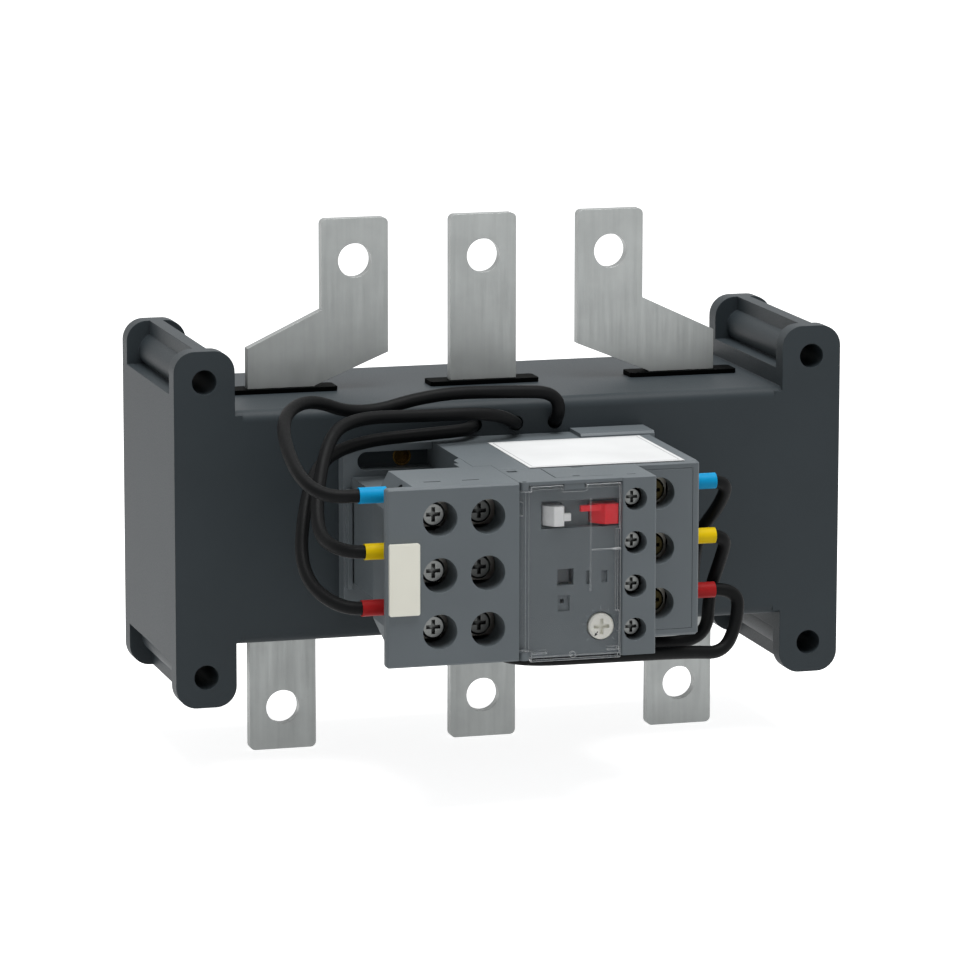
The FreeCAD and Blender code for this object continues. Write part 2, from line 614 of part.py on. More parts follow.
def adapter_housing():
    """Terminal block left of the relay: front plate, chamfered body and the narrow part reaching back."""
    right = RELAY_LEFT_X - FIT_GAP
    front = box(ADAPTER_LEFT_X, right, RELAY_FRONT_Y, RELAY_FRONT_Y + FRONT_PLATE, RELAY_BOTTOM, RELAY_TOP)
    front = filleted(front, 0.8, V(0, 1, 0), lambda p: p.x < ADAPTER_LEFT_X + 1)
    front = chamfered(front, 0.5, V(1, 0, 0), lambda p: p.y < RELAY_FRONT_Y + 0.1)
    top_cut = RELAY_TOP - 7.7
    bottom_cut = RELAY_BOTTOM + 7.7
    outline = [(ADAPTER_BODY_X, bottom_cut), (ADAPTER_BODY_X + 3.6, RELAY_BOTTOM), (right, RELAY_BOTTOM),
               (right, RELAY_TOP), (ADAPTER_BODY_X + 4.0, RELAY_TOP), (ADAPTER_BODY_X, top_cut)]
    body = prism_y(outline, RELAY_FRONT_Y + 1.0, ADAPTER_BACK_Y)
    neck_right = RELAY_BACK_LEFT_X - FIT_GAP
    neck = box(ADAPTER_MID_X, neck_right, ADAPTER_BACK_Y - 3, PLATE_FRONT_Y, NECK_BOTTOM, NECK_TOP)
    hook = prism_z([(-26.5, ADAPTER_BACK_Y - 1), (-23.1, ADAPTER_BACK_Y - 1), (-23.1, at(38.3)),
                    (-25.2, at(35.3)), (-25.2, at(30.8)), (-26.5, at(30.8))], RELAY_TOP - 4.0, RELAY_TOP)
    block = joined([front, body, neck, hook])
    cuts = []
    for z in POLES:
        for x in (WIRE_SCREW_X, PIN_SCREW_X):
            cuts.append(cylinder_y(x, z, WELL_RADIUS, RELAY_FRONT_Y - 1, at(11.3)))
        cuts.append(box(ADAPTER_BODY_X + 5.2, right + 1, at(8.9), at(22.3), z - 5.6, z + 7.2))
        bore = SLEEVE_RADIUS + SLEEVE_GAP
        cuts.append(cylinder_x(SIDE_WIRE_Y, z + SIDE_WIRE_RISE, bore, ADAPTER_BODY_X - 1, ADAPTER_BODY_X + 6))
    cuts.append(box(ADAPTER_MID_X + SHELL, neck_right - SHELL, ADAPTER_BACK_Y + 0.5, PLATE_FRONT_Y + 1,
                    NECK_BOTTOM + SHELL, NECK_TOP - SHELL))
    for x in (-38.6, -28.7):
        cuts.append(box(x - 2.2, x + 2.2, at(7.3), at(8.2), RELAY_TOP - 1.2, RELAY_TOP + 1))
    cuts.append(marker_foot(MARKER_FOOT_INSET - FIT_GAP, RELAY_FRONT_Y - 1, RELAY_FRONT_Y + 0.8))
    return without(block, cuts)


def marker_foot(inset, y0, y1):
    return box(MARKER_X0 + inset, MARKER_X1 - inset, y0, y1, MARKER_Z0 + inset, MARKER_Z1 - inset)


def marker_plate():
    plate = box(MARKER_X0, MARKER_X1, RELAY_FRONT_Y - MARKER_RAISE, RELAY_FRONT_Y, MARKER_Z0, MARKER_Z1)
    plate = filleted(plate, 0.5, V(0, 1, 0), lambda p: True)
    foot = marker_foot(MARKER_FOOT_INSET, RELAY_FRONT_Y - 0.3, RELAY_FRONT_Y + 0.7)
    return joined([plate, foot])


def adapter_plate():
    """Mounting plate of the adapter, flat on the block's front wall, with one slot above and one below."""
    right = RELAY_BACK_LEFT_X - FIT_GAP
    plate = box(PLATE_LEFT_X, right, PLATE_FRONT_Y, -BLOCK_DEPTH, -22.7, RELAY_TOP)
    plate = filleted(plate, 3.0, V(0, 1, 0), lambda p: p.x < PLATE_LEFT_X + 1)
    y0 = PLATE_FRONT_Y - 1
    y1 = -BLOCK_DEPTH + 1
    r = SLOT_HEIGHT / 2
    cuts = [box(SLOT_LEFT_X + r, right + 1, y0, y1, SLOT_Z - r, SLOT_Z + r)]
    cuts.append(cylinder_y(SLOT_LEFT_X + r, SLOT_Z, r, y0, y1))
    reach = LOWER_SLOT_HALF - r
    cuts.append(box(LOWER_SLOT_X - reach, LOWER_SLOT_X + reach, y0, y1, LOWER_SLOT_Z - r, LOWER_SLOT_Z + r))
    for side in (-1, 1):
        cuts.append(cylinder_y(LOWER_SLOT_X + side * reach, LOWER_SLOT_Z, r, y0, y1))
    rib_x = PLATE_LEFT_X + 0.6
    ribs = [box(rib_x, rib_x + 1.2, PLATE_FRONT_Y - 2.2, PLATE_FRONT_Y + 0.5, -16.0, 10.0)]
    return without(joined([plate] + ribs), cuts)


def adapter_plate_screw():
    tip_y = -BLOCK_DEPTH + WALL - 0.2
    shank = INSERT_BORE - THREAD_GAP
    return cross_screw(LOWER_SLOT_X, LOWER_SLOT_Z, PLATE_FRONT_Y - 2.2, tip_y, 3.4, shank, 2.2)


def link_bars():
    """One flat bar per pole, joining the wire side to the pin side under both screws."""
    made = []
    for z in POLES:
        bar = box(-43.4, -21.0, at(12.6), at(15.0), z - 4.2, z + 6.9)
        holes = []
        for x in (WIRE_SCREW_X, PIN_SCREW_X):
            holes.append(cylinder_y(x, z, SHANK_RADIUS + THREAD_GAP, at(11.3), at(16.3)))
        made.append(bar.cut(holes))
    return group(made)


def adapter_screws(x, top_y):
    return group([cross_screw(x, z, top_y, at(20.8)) for z in POLES])


def relay_pins():
    """Flat input pins of the relay; each lies on its link bar and is held by the screw beside it."""
    made = []
    for z in POLES:
        outer = box(-31.0, RELAY_LEFT_X + 4.0, at(10.8), at(12.6), z + 2.1, z + 6.0)
        outer = chamfered(outer, 0.7, V(0, 1, 0), lambda p: p.x < -30)
        riser = box(RELAY_LEFT_X + 2.4, RELAY_LEFT_X + 4.0, at(11.8), at(42.3), z + 2.1, z + 6.0)
        made.append(joined([outer, riser]))
    return group(made)


def relay_base():
    """Rear housing: phase chambers, open to the front; the step's wall is the main terminal plate."""
    notch_y = ADAPTER_BACK_Y + 2 * FIT_GAP
    outline = [(RELAY_LEFT_X, STEP_Y), (RELAY_RIGHT_X, STEP_Y), (RELAY_RIGHT_X, -BLOCK_DEPTH),
               (RELAY_BACK_LEFT_X, -BLOCK_DEPTH), (RELAY_BACK_LEFT_X, notch_y), (RELAY_LEFT_X, notch_y)]
    outer = prism_z(outline, RELAY_BOTTOM, RELAY_TOP)
    outer = filleted(outer, 0.8, V(0, 0, 1), lambda p: p.x > RELAY_RIGHT_X - 1 and p.y < STEP_Y + 1)
    outer = chamfered(outer, 0.7, V(1, 0, 0), lambda p: p.y < STEP_Y + 0.1 and abs(p.z) > 20)
    foot_y = -BLOCK_DEPTH - 10.0
    foot = box(15.5, RELAY_RIGHT_X + 0.7, foot_y, -BLOCK_DEPTH, RELAY_TOP - 3.0, RELAY_TOP + 1.0)
    foot = chamfered(foot, 0.6, V(1, 0, 0), lambda p: p.y < foot_y + 1 and p.z > RELAY_TOP)
    outer = joined([outer, foot])
    left = RELAY_LEFT_X + SHELL
    right = RELAY_RIGHT_X - SHELL
    back_left = RELAY_BACK_LEFT_X + SHELL
    floor_y = -BLOCK_DEPTH - SHELL
    inner_outline = [(left, STEP_Y - 1), (right, STEP_Y - 1), (right, floor_y), (back_left, floor_y),
                     (back_left, notch_y + SHELL), (left, notch_y + SHELL)]
    inner = prism_z(inner_outline, RELAY_BOTTOM + SHELL, RELAY_TOP - SHELL)
    shell = without(outer, [inner])
    adds = []
    for z in (POLE_CENTRE_Z - POLE_PITCH / 2, POLE_CENTRE_Z + POLE_PITCH / 2):
        adds.append(box(-10.0, right + 0.5, STEP_Y + SHELL + FIT_GAP, -BLOCK_DEPTH - 0.5, z - 0.6, z + 0.6))
    for z in POLES:
        adds.append(box(6.0, 9.5, at(43.3), -BLOCK_DEPTH - 0.5, z - 3.4, z + 3.4))
    guide_x0 = SLIDER_X0 - SLIDER_GAP
    guide_x1 = SLIDER_X1 + SLIDER_GAP
    for z0, z1 in ((-19.6, -17.6), (4.0, 8.0), (15.3, 17.3)):
        rail = box(guide_x0 - 1.0, guide_x1 + 1.0, at(48.3), -BLOCK_DEPTH - 0.5, z0, z1)
        adds.append(rail.cut(box(guide_x0, guide_x1, at(47.3), SLIDER_BACK_Y + SLIDER_GAP, z0 - 1, z1 + 1)))
    shell = joined([shell] + adds)
    cuts = []
    for z in POLES:
        cuts.append(cylinder_x(MAIN_WIRE_Y, z, SLEEVE_RADIUS + SLEEVE_GAP, right - 0.5, RELAY_RIGHT_X + 1))
        cuts.append(box(6.9, 8.6, at(39.3), -BLOCK_DEPTH - 2.5, z - 1.2, z + 1.2))
        cuts.append(box(5.9, 8.0, at(42.3), at(47.8), z - 1.2, z + 1.2))
    for x in MOUNT_SCREW_X:
        cuts.append(cylinder_y(x, POLE_CENTRE_Z, 2.2, -BLOCK_DEPTH - 3, -BLOCK_DEPTH + 1))
    return without(shell, cuts)


def main_terminal_plate():
    """Front wall of the step, set between the walls of the rear housing, with the three screw wells."""
    x0 = AUX_RIGHT_X - SHELL
    x1 = RELAY_RIGHT_X - SHELL - FIT_GAP
    half = RELAY_WIDTH / 2 - SHELL - FIT_GAP
    plate = box(x0, x1, STEP_Y, STEP_Y + SHELL, RELAY_CENTRE_Z - half, RELAY_CENTRE_Z + half)
    wells = []
    collars = []
    for z in POLES:
        collars.append(cylinder_y(MAIN_SCREW_X, z, MAIN_WELL_RADIUS + 1.2, STEP_Y + 0.5, STEP_Y + 5.5))
        wells.append(cylinder_y(MAIN_SCREW_X, z, MAIN_WELL_RADIUS, STEP_Y - 1, STEP_Y + 5.6))
    return without(joined([plate] + collars), wells)


def relay_mount_screws():
    """Screws in the bottom of the rear housing that hold it on the block."""
    top_y = -BLOCK_DEPTH - SHELL - 2.2
    tip_y = -BLOCK_DEPTH + WALL - 0.2
    shank = INSERT_BORE - THREAD_GAP
    return group([cross_screw(x, POLE_CENTRE_Z, top_y, tip_y, 3.2, shank, 2.2) for x in MOUNT_SCREW_X])


def face_outline(inset):
    left = RELAY_LEFT_X + inset
    return [(left, STEP_Y - FIT_GAP), (left, FACE_Y + inset), (COVER_RIGHT_X + inset, FACE_Y + inset),
            (COVER_RIGHT_X + inset, RELAY_FRONT_Y + inset), (AUX_RIGHT_X - inset, RELAY_FRONT_Y + inset),
            (AUX_RIGHT_X - inset, STEP_Y - FIT_GAP)]


def top_panel_cuts():
    """Lines of the accessory panel in the top wall, with its small latch openings."""
    z0 = RELAY_TOP - 0.4
    z1 = RELAY_TOP + 1
    cuts = [box(-7.7, -7.4, at(5.1), at(18.0), z0, z1), box(-7.7, 7.4, at(4.8), at(5.1), z0, z1)]
    cuts.append(box(0.4, 3.6, at(17.4), at(18.2), RELAY_TOP - 1.2, z1))
    cuts.append(box(-2.7, -0.8, at(5.9), at(6.7), RELAY_TOP - 1.2, z1))
    cuts.append(box(11.1, 13.3, at(4.7), at(5.3), RELAY_TOP - 1.2, z1))
    cuts.append(box(-16.9, -14.3, at(15.0), at(17.0), RELAY_TOP - 0.8, z1))
    return cuts


def relay_face():
    """Front housing: face plate under the cover and the strip with the auxiliary terminals."""
    outer = prism_z(face_outline(0.0), RELAY_BOTTOM, RELAY_TOP)
    outer = filleted(outer, 0.6, V(0, 0, 1), lambda p: p.y < RELAY_FRONT_Y + 0.1)
    points = face_outline(SHELL)
    points[0] = (points[0][0], STEP_Y + 1)
    points[-1] = (points[-1][0], STEP_Y + 1)
    inner = prism_z(points, RELAY_BOTTOM + SHELL, RELAY_TOP - SHELL)
    shell = without(outer, [inner])
    adds = []
    strip = box(-12.6, COVER_RIGHT_X + 0.2, FACE_Y + 0.5, STRIP_FLOOR_Y + 1.4, 8.2, 16.6)
    adds.append(strip)
    for z in AUX_ROWS:
        boss = cylinder_y(AUX_SCREW_X, z, AUX_WELL_RADIUS + 1.1, RELAY_FRONT_Y + 0.9, RELAY_FRONT_Y + 5.0)
        flat = box(COVER_RIGHT_X - 3, COVER_RIGHT_X + FIT_GAP, RELAY_FRONT_Y, FACE_Y + 3, z - 5, z + 5)
        adds.append(boss.cut(flat))
    adds.append(cylinder_y(DIAL_X, DIAL_Z, DIAL_RADIUS + 1.3, FACE_Y + 0.5, FACE_Y + 3.2))
    adds.append(cylinder_y(DIAL_X, DIAL_Z, DIAL_SHAFT_RADIUS + 1.2, FACE_Y + 2.0, FACE_Y + 8.0))
    brow_y = RELAY_FRONT_Y + 0.4
    brow_z = COVER_TOP_Z + 0.3
    adds.append(box(HINGE_X + 0.75, COVER_RIGHT_X + 0.2, brow_y, FACE_Y + 0.5, brow_z, RELAY_TOP))
    for x0, x1 in ((-10.4, -9.0), (-2.2, -0.8)):
        adds.append(box(x0, x1, FACE_Y + 1.3, STEP_Y - 0.2, LEVER_PIVOT_Z - 2.2, LEVER_PIVOT_Z + 2.2))
    adds.append(box(-6.6, -1.3, RELAY_FRONT_Y + 0.6, FACE_Y + 0.5, RELAY_TOP - 2.4, RELAY_TOP))
    for z0, z1 in ((RELAY_TOP - 2.0, RELAY_TOP), (RELAY_BOTTOM, RELAY_BOTTOM + 2.0)):
        lug = box(RELAY_LEFT_X, HINGE_X + 1.25, HINGE_Y, FACE_Y + 0.5, z0, z1)
        adds.append(joined([lug, cylinder_z(HINGE_X, HINGE_Y, 1.2, z0, z1)]))
    adds.append(box(-13.4, -11.2, FACE_Y + 1.3, FACE_Y + 11.8, COMPENSATOR_Z - 1.4, COMPENSATOR_Z + 1.4))
    for above, below in zip(AUX_ROWS, AUX_ROWS[1:]):
        middle = (above + below) / 2
        adds.append(box(9.6, AUX_RIGHT_X - 0.5, RELAY_FRONT_Y + 1, at(17.3), middle - 0.5, middle + 0.5))
    shell = joined([shell] + adds)
    cuts = [box(-11.9, 8.3, FACE_Y - 3, STRIP_FLOOR_Y, 8.9, 15.9)]
    cuts += top_panel_cuts()
    for x0, x1 in ((RESET_X0, RESET_X1), (STOP_X0, STOP_X1)):
        cuts.append(box(x0 - BUTTON_GAP, x1 + BUTTON_GAP, STRIP_FLOOR_Y - 1, at(11.3),
                        BUTTON_Z0 - BUTTON_GAP, BUTTON_Z1 + BUTTON_GAP))
    cuts.append(box(-13.3, -11.0, at(11.6), at(13.8), COMPENSATOR_Z - 0.35, COMPENSATOR_Z + 0.35))
    for z in AUX_ROWS:
        cuts.append(box(AUX_RIGHT_X - SHELL - 0.5, AUX_RIGHT_X + 1, at(8.3), at(12.3), z - 2.0, z + 2.0))
        cuts.append(cylinder_y(AUX_SCREW_X, z, AUX_WELL_RADIUS, RELAY_FRONT_Y - 1, RELAY_FRONT_Y + 5.1))
    cuts.append(cylinder_y(DIAL_X, DIAL_Z, DIAL_RADIUS + 0.3, FACE_Y - 1, FACE_Y + 1.9))
    cuts.append(cylinder_y(DIAL_X, DIAL_Z, DIAL_SHAFT_RADIUS + DIAL_GAP, FACE_Y - 1, FACE_Y + 9.0))
    cuts.append(box(-7.7, -3.5, FACE_Y - 1, FACE_Y + SHELL + 0.2, -5.6, -1.4))
    cuts.append(box(-0.2, 0.7, FACE_Y - 1, FACE_Y + 0.9, -5.6, -2.2))
    cuts.append(box(3.8, 5.3, FACE_Y - 1, FACE_Y + 0.9, -5.3, -2.3))
    cuts.append(box(-7.6, -4.5, FACE_Y - 1, FACE_Y + 0.9, -12.1, -8.1))
    cuts.append(cylinder_y(-6.2, -9.7, 0.6, FACE_Y - 1, FACE_Y + SHELL + 0.2))
    cuts.append(cylinder_x(LEVER_PIVOT_Y, LEVER_PIVOT_Z, LEVER_PIN_RADIUS + 0.02, -11, 0))
    for z0, z1 in ((RELAY_TOP - 3.0, RELAY_TOP + 1), (RELAY_BOTTOM - 1, RELAY_BOTTOM + 3.0)):
        cuts.append(cylinder_z(HINGE_X, HINGE_Y, HINGE_RADIUS + HINGE_GAP, z0, z1))
    for z in POLES:
        cuts.append(box(RELAY_LEFT_X - 1, RELAY_LEFT_X + SHELL + 0.5, at(10.6), at(12.8), z + 1.9, z + 6.7))
    return without(shell, cuts)


def push_button(x0, x1, tail_x0, tail_x1, tail_z0, tail_z1):
    """Wedge-faced button with a finger lug at its side and a stem with a stop flange inside."""
    slope = (x1 - x0) * 0.45
    head = prism_z([(x0, BUTTON_STEM_END_Y), (x0, STRIP_FLOOR_Y - 0.9), (x0 + slope, BUTTON_FRONT_Y),
                    (x1, BUTTON_FRONT_Y), (x1, BUTTON_STEM_END_Y)], BUTTON_Z0, BUTTON_Z1)
    head = filleted(head, 0.5, V(0, 0, 1), lambda p: p.y < BUTTON_FRONT_Y + 0.1)
    tail_back = STRIP_FLOOR_Y - BUTTON_TRAVEL - BUTTON_GAP
    tail = box(tail_x0, tail_x1, tail_back - 1.1, tail_back, tail_z0, tail_z1)
    flange = box(x0 - 0.9, x1 + 0.9, at(6.6), at(7.8), BUTTON_Z0 - 0.9, BUTTON_Z1 + 0.9)
    return joined([head, tail, flange])


def reset_button():
    return push_button(RESET_X0, RESET_X1, RESET_X1 - 0.5, -4.3, 10.7, 12.6)


def stop_button():
    return push_button(STOP_X0, STOP_X1, -1.8, STOP_X0 + 2.6, 12.9, 14.4)


def setting_dial():
    """Round dial with a cross recess, its shaft and the eccentric cam at the inner end."""
    disc = cylinder_y(DIAL_X, DIAL_Z, DIAL_RADIUS, FACE_Y - 0.9, FACE_Y + 1.5)
    disc = disc.makeChamfer(0.35, circles(disc, lambda p: p.y < FACE_Y))
    shaft = cylinder_y(DIAL_X, DIAL_Z, DIAL_SHAFT_RADIUS, FACE_Y + 1.0, FACE_Y + 9.6)
    cam = cylinder_y(DIAL_X + 0.7, DIAL_Z, 2.4, FACE_Y + 8.3, FACE_Y + 10.6)
    recess_flat = box(DIAL_X - 2.0, DIAL_X + 2.0, FACE_Y - 2, FACE_Y + 0.3, DIAL_Z - 0.45, DIAL_Z + 0.45)
    recess_tall = box(DIAL_X - 0.45, DIAL_X + 0.45, FACE_Y - 2, FACE_Y + 0.3, DIAL_Z - 2.0, DIAL_Z + 2.0)
    return without(joined([disc, shaft, cam]), [recess_flat, recess_tall])


def clear_cover():
    """Hinged window: thin wall, top and bottom lips with notches, and the rib that hinges on the left."""
    z0 = RELAY_BOTTOM - 0.4
    z1 = COVER_TOP_Z
    inside = RELAY_FRONT_Y + COVER_WALL
    lip_end = FACE_Y - 0.3
    right = COVER_RIGHT_X - 0.4
    panel = box(HINGE_X, right, RELAY_FRONT_Y, inside, z0, z1)
    bottom_lip = box(HINGE_X + 1.6, right, inside - 0.2, lip_end, z0, z0 + 0.9)
    top_lip = box(HINGE_X + 1.6, right, inside - 0.2, lip_end, z1 - 0.9, z1)
    right_lip = box(right - 0.9, right, inside - 0.2, lip_end, -12.4, 8.4)
    barrel_z0 = RELAY_BOTTOM + 2.3
    barrel_z1 = RELAY_TOP - 2.3
    rib = cylinder_z(HINGE_X, HINGE_Y, 1.15, barrel_z0, barrel_z1)
    pin = cylinder_z(HINGE_X, HINGE_Y, HINGE_RADIUS, RELAY_BOTTOM + 0.3, RELAY_TOP - 0.3)
    cross_line = box(0.2, right, RELAY_FRONT_Y - 0.25, RELAY_FRONT_Y + 0.3, 3.4, 3.7)
    tall_line = box(0.0, 0.3, RELAY_FRONT_Y - 0.25, RELAY_FRONT_Y + 0.3, -6.8, 16.6)
    latches = [box(-14.5, -10.8, inside - 0.2, lip_end, RELAY_BOTTOM + 1.4, RELAY_BOTTOM + 2.2),
               box(5.0, 7.8, inside - 0.2, lip_end, RELAY_BOTTOM + 1.4, RELAY_BOTTOM + 2.2)]
    cover = joined([panel, bottom_lip, top_lip, right_lip, rib, cross_line, tall_line] + latches)
    cuts = [box(HINGE_X - 3, HINGE_X + 1.5, RELAY_FRONT_Y - 1, FACE_Y, barrel_z1, z1 + 1),
            box(HINGE_X - 3, HINGE_X + 1.5, RELAY_FRONT_Y - 1, FACE_Y, z0 - 1, barrel_z0),
            box(-7.0, -0.9, RELAY_FRONT_Y - 1, FACE_Y, RELAY_TOP - 2.8, z1 + 1),
            box(HINGE_X - 2, HINGE_X - HINGE_RADIUS, RELAY_FRONT_Y - 1, FACE_Y, *RIB_NOTCH_Z),
            cylinder_y(-4.3, RELAY_BOTTOM + 0.9, 0.7, RELAY_FRONT_Y - 1, inside + 1)]
    cover = without(cover, cuts)
    return joined([cover, pin])


def label_plate():
    return box(-10.0, 30.9, at(19.3), -BLOCK_DEPTH - 11.4, RELAY_TOP, RELAY_TOP + 0.2)


def aux_screws():
    return group([cross_screw(AUX_SCREW_X, z, at(3.6), at(12.3), 2.5, 1.45, 2.0) for z in AUX_ROWS])


def aux_clamps():
    """Bent saddle under each auxiliary screw, threaded on its shank."""
    made = []
    for z in AUX_ROWS:
        front = box(AUX_SCREW_X - 2.3, AUX_SCREW_X + 3.4, at(6.7), at(7.9), z - 3.0, z + 3.0)
        side = box(AUX_SCREW_X + 2.4, AUX_SCREW_X + 3.4, at(7.3), at(13.1), z - 3.0, z + 3.0)
        back = box(AUX_SCREW_X - 2.3, AUX_SCREW_X + 3.4, at(12.7), at(13.7), z - 3.0, z + 3.0)
        hole = cylinder_y(AUX_SCREW_X, z, 1.45 + THREAD_GAP, at(5.3), at(9.3))
        made.append(joined([front, side, back]).cut(hole))
    return group(made)


def main_screws():
    return group([cross_screw(MAIN_SCREW_X, z, at(23.7), at(30.4), 3.1, SHANK_RADIUS, 2.2) for z in POLES])


def main_clamps():
    """Box clamp round each outgoing wire; the screw runs in its front wall."""
    made = []
    for z in POLES:
        outer = box(MAIN_SCREW_X - 4.2, MAIN_SCREW_X + 4.2, at(26.1), at(36.7), z - 4.6, z + 4.6)
        outer = filleted(outer, 1.0, V(1, 0, 0), lambda p: True)
        inner = box(MAIN_SCREW_X - 5, MAIN_SCREW_X + 5, at(27.9), at(35.1), z - 3.2, z + 3.2)
        hole = cylinder_y(MAIN_SCREW_X, z, SHANK_RADIUS + THREAD_GAP, at(25.3), at(28.3))
        made.append(without(outer, [inner, hole]))
    return group(made)


def bimetal(z):
    """Bimetal strip of one phase with the tag that runs into the box clamp."""
    half = STRIP_THICKNESS / 2
    strip = box(SLIDER_X0 - 1.3, 8.5, at(41.3), at(41.3) + STRIP_DEPTH, z - half, z + half)
    anchor = box(7.0, 8.5, at(41.3), -BLOCK_DEPTH - 3.0, z - half, z + half)
    tag = box(8.0, MAIN_SCREW_X + 3.5, at(34.1), at(35.05), z - 2.8, z + 2.8)
    link = box(8.0, 9.0, at(34.3), at(42.3), z - 2.8, z + 2.8)
    joint = box(7.4, 9.0, at(41.3), at(42.8), z - 2.8, z + 2.8)
    return joined([strip, anchor, tag, link, joint])


def heater_coils():
    """Flat heater ribbon wound round each strip, six turns joined by short steps."""
    made = []
    for z in POLES:
        parts = []
        for k in range(6):
            x0 = -8.0 + k * 2.2
            outer = box(x0, x0 + 1.3, at(40.0), at(48.6), z - 1.75, z + 1.75)
            parts.append(outer.cut(box(x0 - 1, x0 + 3, at(40.8), at(47.8), z - 0.95, z + 0.95)))
            if k:
                parts.append(box(x0 - 1.2, x0 + 0.3, at(40.0), at(40.8), z - 0.8, z + 0.8))
        parts.append(box(-15.6, -7.0, at(40.0), at(40.8), z + 0.6, z + 2.05))
        made.append(joined(parts))
    return group(made)


def trip_slider():
    """Comb across the three phases: the strip tips sit in its slots and its fork drives the rocker."""
    z0 = RELAY_BOTTOM + SHELL + 2.0
    z1 = RELAY_TOP - SHELL - 2.0
    bar = box(SLIDER_X0, SLIDER_X1, at(44.4), SLIDER_BACK_Y, z0, z1)
    low = LEVER_PIVOT_Z - 2.7
    tab = box(SLIDER_X0, SLIDER_X1, at(37.3), at(44.8), low, LEVER_PIVOT_Z + 1.3)
    fork = box(SLIDER_X0, SLIDER_X1, at(26.8), at(39.3), low, LEVER_PIVOT_Z + 2.6)
    slots = [box(SLIDER_X0 - 1, SLIDER_X1 + 1, at(26.3), at(31.9), LEVER_PIVOT_Z - NOSE_RADIUS - SLIDER_GAP,
                 LEVER_PIVOT_Z + NOSE_RADIUS + SLIDER_GAP)]
    half = STRIP_THICKNESS / 2 + 0.35
    for z in POLES:
        slots.append(box(SLIDER_X0 - 1, SLIDER_X1 + 1, at(43.3), at(47.7), z - half,
                         z + half + SLIDER_TRAVEL))
    return without(joined([bar, tab, fork]), slots)


def trip_rocker():
    """Rocker on a cross pin: its nose sits in the slider's fork, its flag shows in the window."""
    y = LEVER_PIVOT_Y
    z = LEVER_PIVOT_Z
    hub = cylinder_x(y, z, 2.0, -8.6, -2.6)
    web = box(-8.6, -6.6, y, y + 6.5, z - 1, z + 1)
    cross = box(-13.6, -6.6, y + 4.5, y + 6.5, z - 1, z + 1)
    arm = box(-13.6, -11.9, y + 5, y + LEVER_ARM, z - 0.8, z + 0.8)
    nose = cylinder_x(y + LEVER_ARM, z, NOSE_RADIUS, -13.6, -11.9)
    front = box(-6.6, -4.6, y - 11.6, y, z - 1, z + 1)
    flag = box(-7.3, -3.9, y - 12.4, y - 11.2, z - 1.9, z + 2.5)
    bore = cylinder_x(y, z, LEVER_PIN_RADIUS + 0.05, -10, -1)
    return joined([hub, web, cross, arm, nose, front, flag]).cut(bore)


def rocker_pin():
    return cylinder_x(LEVER_PIVOT_Y, LEVER_PIVOT_Z, LEVER_PIN_RADIUS, -10.4, -0.8)


def compensating_strip():
    """Straight leaf beside the dial's cam, held in a post of the front housing."""
    return box(-13.2, 9.0, at(11.7), at(13.7), COMPENSATOR_Z - 0.25, COMPENSATOR_Z + 0.25)


def contact_leaves():
    """Spring leaves on the clamps of the four auxiliary terminals, each with a contact rivet."""
    made = []
    for z in AUX_ROWS:
        leaf = box(0.2, 14.6, at(13.75), at(14.15), z - 1.5, z + 1.5)
        rivet = cylinder_y(1.7, z, 1.0, at(14.0), at(14.8))
        made.append(joined([leaf, rivet]))
    return group(made)


def save_all():
    os.makedirs("parts", exist_ok=True)
    save("ct_housing", ct_housing())
    save("ct_back_cover", back_cover())
    save("back_cover_screws", cover_screws())
    save("threaded_inserts", threaded_inserts())
    right = outer_busbar()
    save("busbar_right", right)
    save("busbar_left", mirrored_x(right))
    save("busbar_middle", middle_busbar())
    top = top_bushings()
    save("top_bushings", top)
    save("bottom_bushings", mirrored_z(top))
    for side, x in (("left", -LOWER_PITCH), ("middle", 0.0), ("right", LOWER_PITCH)):
        save("core_" + side, core(x))
        save("winding_" + side, winding(x))
    save("winding_bobbins", group([bobbin(x) for x in (-LOWER_PITCH, 0.0, LOWER_PITCH)]))
    save("adapter_housing", adapter_housing())
    save("marker_plate", marker_plate())
    save("adapter_plate", adapter_plate())
    save("adapter_plate_screw", adapter_plate_screw())
    save("link_bars", link_bars())
    save("wire_side_screws", adapter_screws(WIRE_SCREW_X, at(6.5)))
    save("pin_side_screws", adapter_screws(PIN_SCREW_X, at(8.3)))
    save("relay_pins", relay_pins())
    save("relay_base", relay_base())
    save("main_terminal_plate", main_terminal_plate())
    save("relay_mount_screws", relay_mount_screws())
    save("relay_face", relay_face())
    save("clear_cover", clear_cover())
    save("reset_button", reset_button())
    save("stop_button", stop_button())
    save("setting_dial", setting_dial())
    save("label_plate", label_plate())
    save("aux_screws", aux_screws())
    save("aux_clamps", aux_clamps())
    save("main_screws", main_screws())
    save("main_clamps", main_clamps())
    for name, z in zip(COLOURS, POLES):
        save("bimetal_" + name, bimetal(z))
    save("heater_coils", heater_coils())
    save("trip_slider", trip_slider())
    save("trip_rocker", trip_rocker())
    save("rocker_pin", rocker_pin())
    save("compensating_strip", compensating_strip())
    save("contact_leaves", contact_leaves())
    for colour, route in zip(COLOURS, LEFT_ROUTES):
        save("wire_left_" + colour, wire_tube(route, WIRE_RADIUS, "wire_left_" + colour))
    for colour, route in zip(COLOURS, RIGHT_ROUTES):
        save("wire_right_" + colour, wire_tube(route, WIRE_RADIUS, "wire_right_" + colour))
    for colour, pole, left_end in zip(COLOURS, POLES, LEFT_SLEEVE_ENDS):
        save("sleeve_left_" + colour, sleeve(SIDE_WIRE_Y, pole + SIDE_WIRE_RISE, left_end, LEFT_SLEEVE_START))
        save("sleeve_right_" + colour, sleeve(MAIN_WIRE_Y, pole, RIGHT_SLEEVE_START, RIGHT_SLEEVE_END))


save_all()
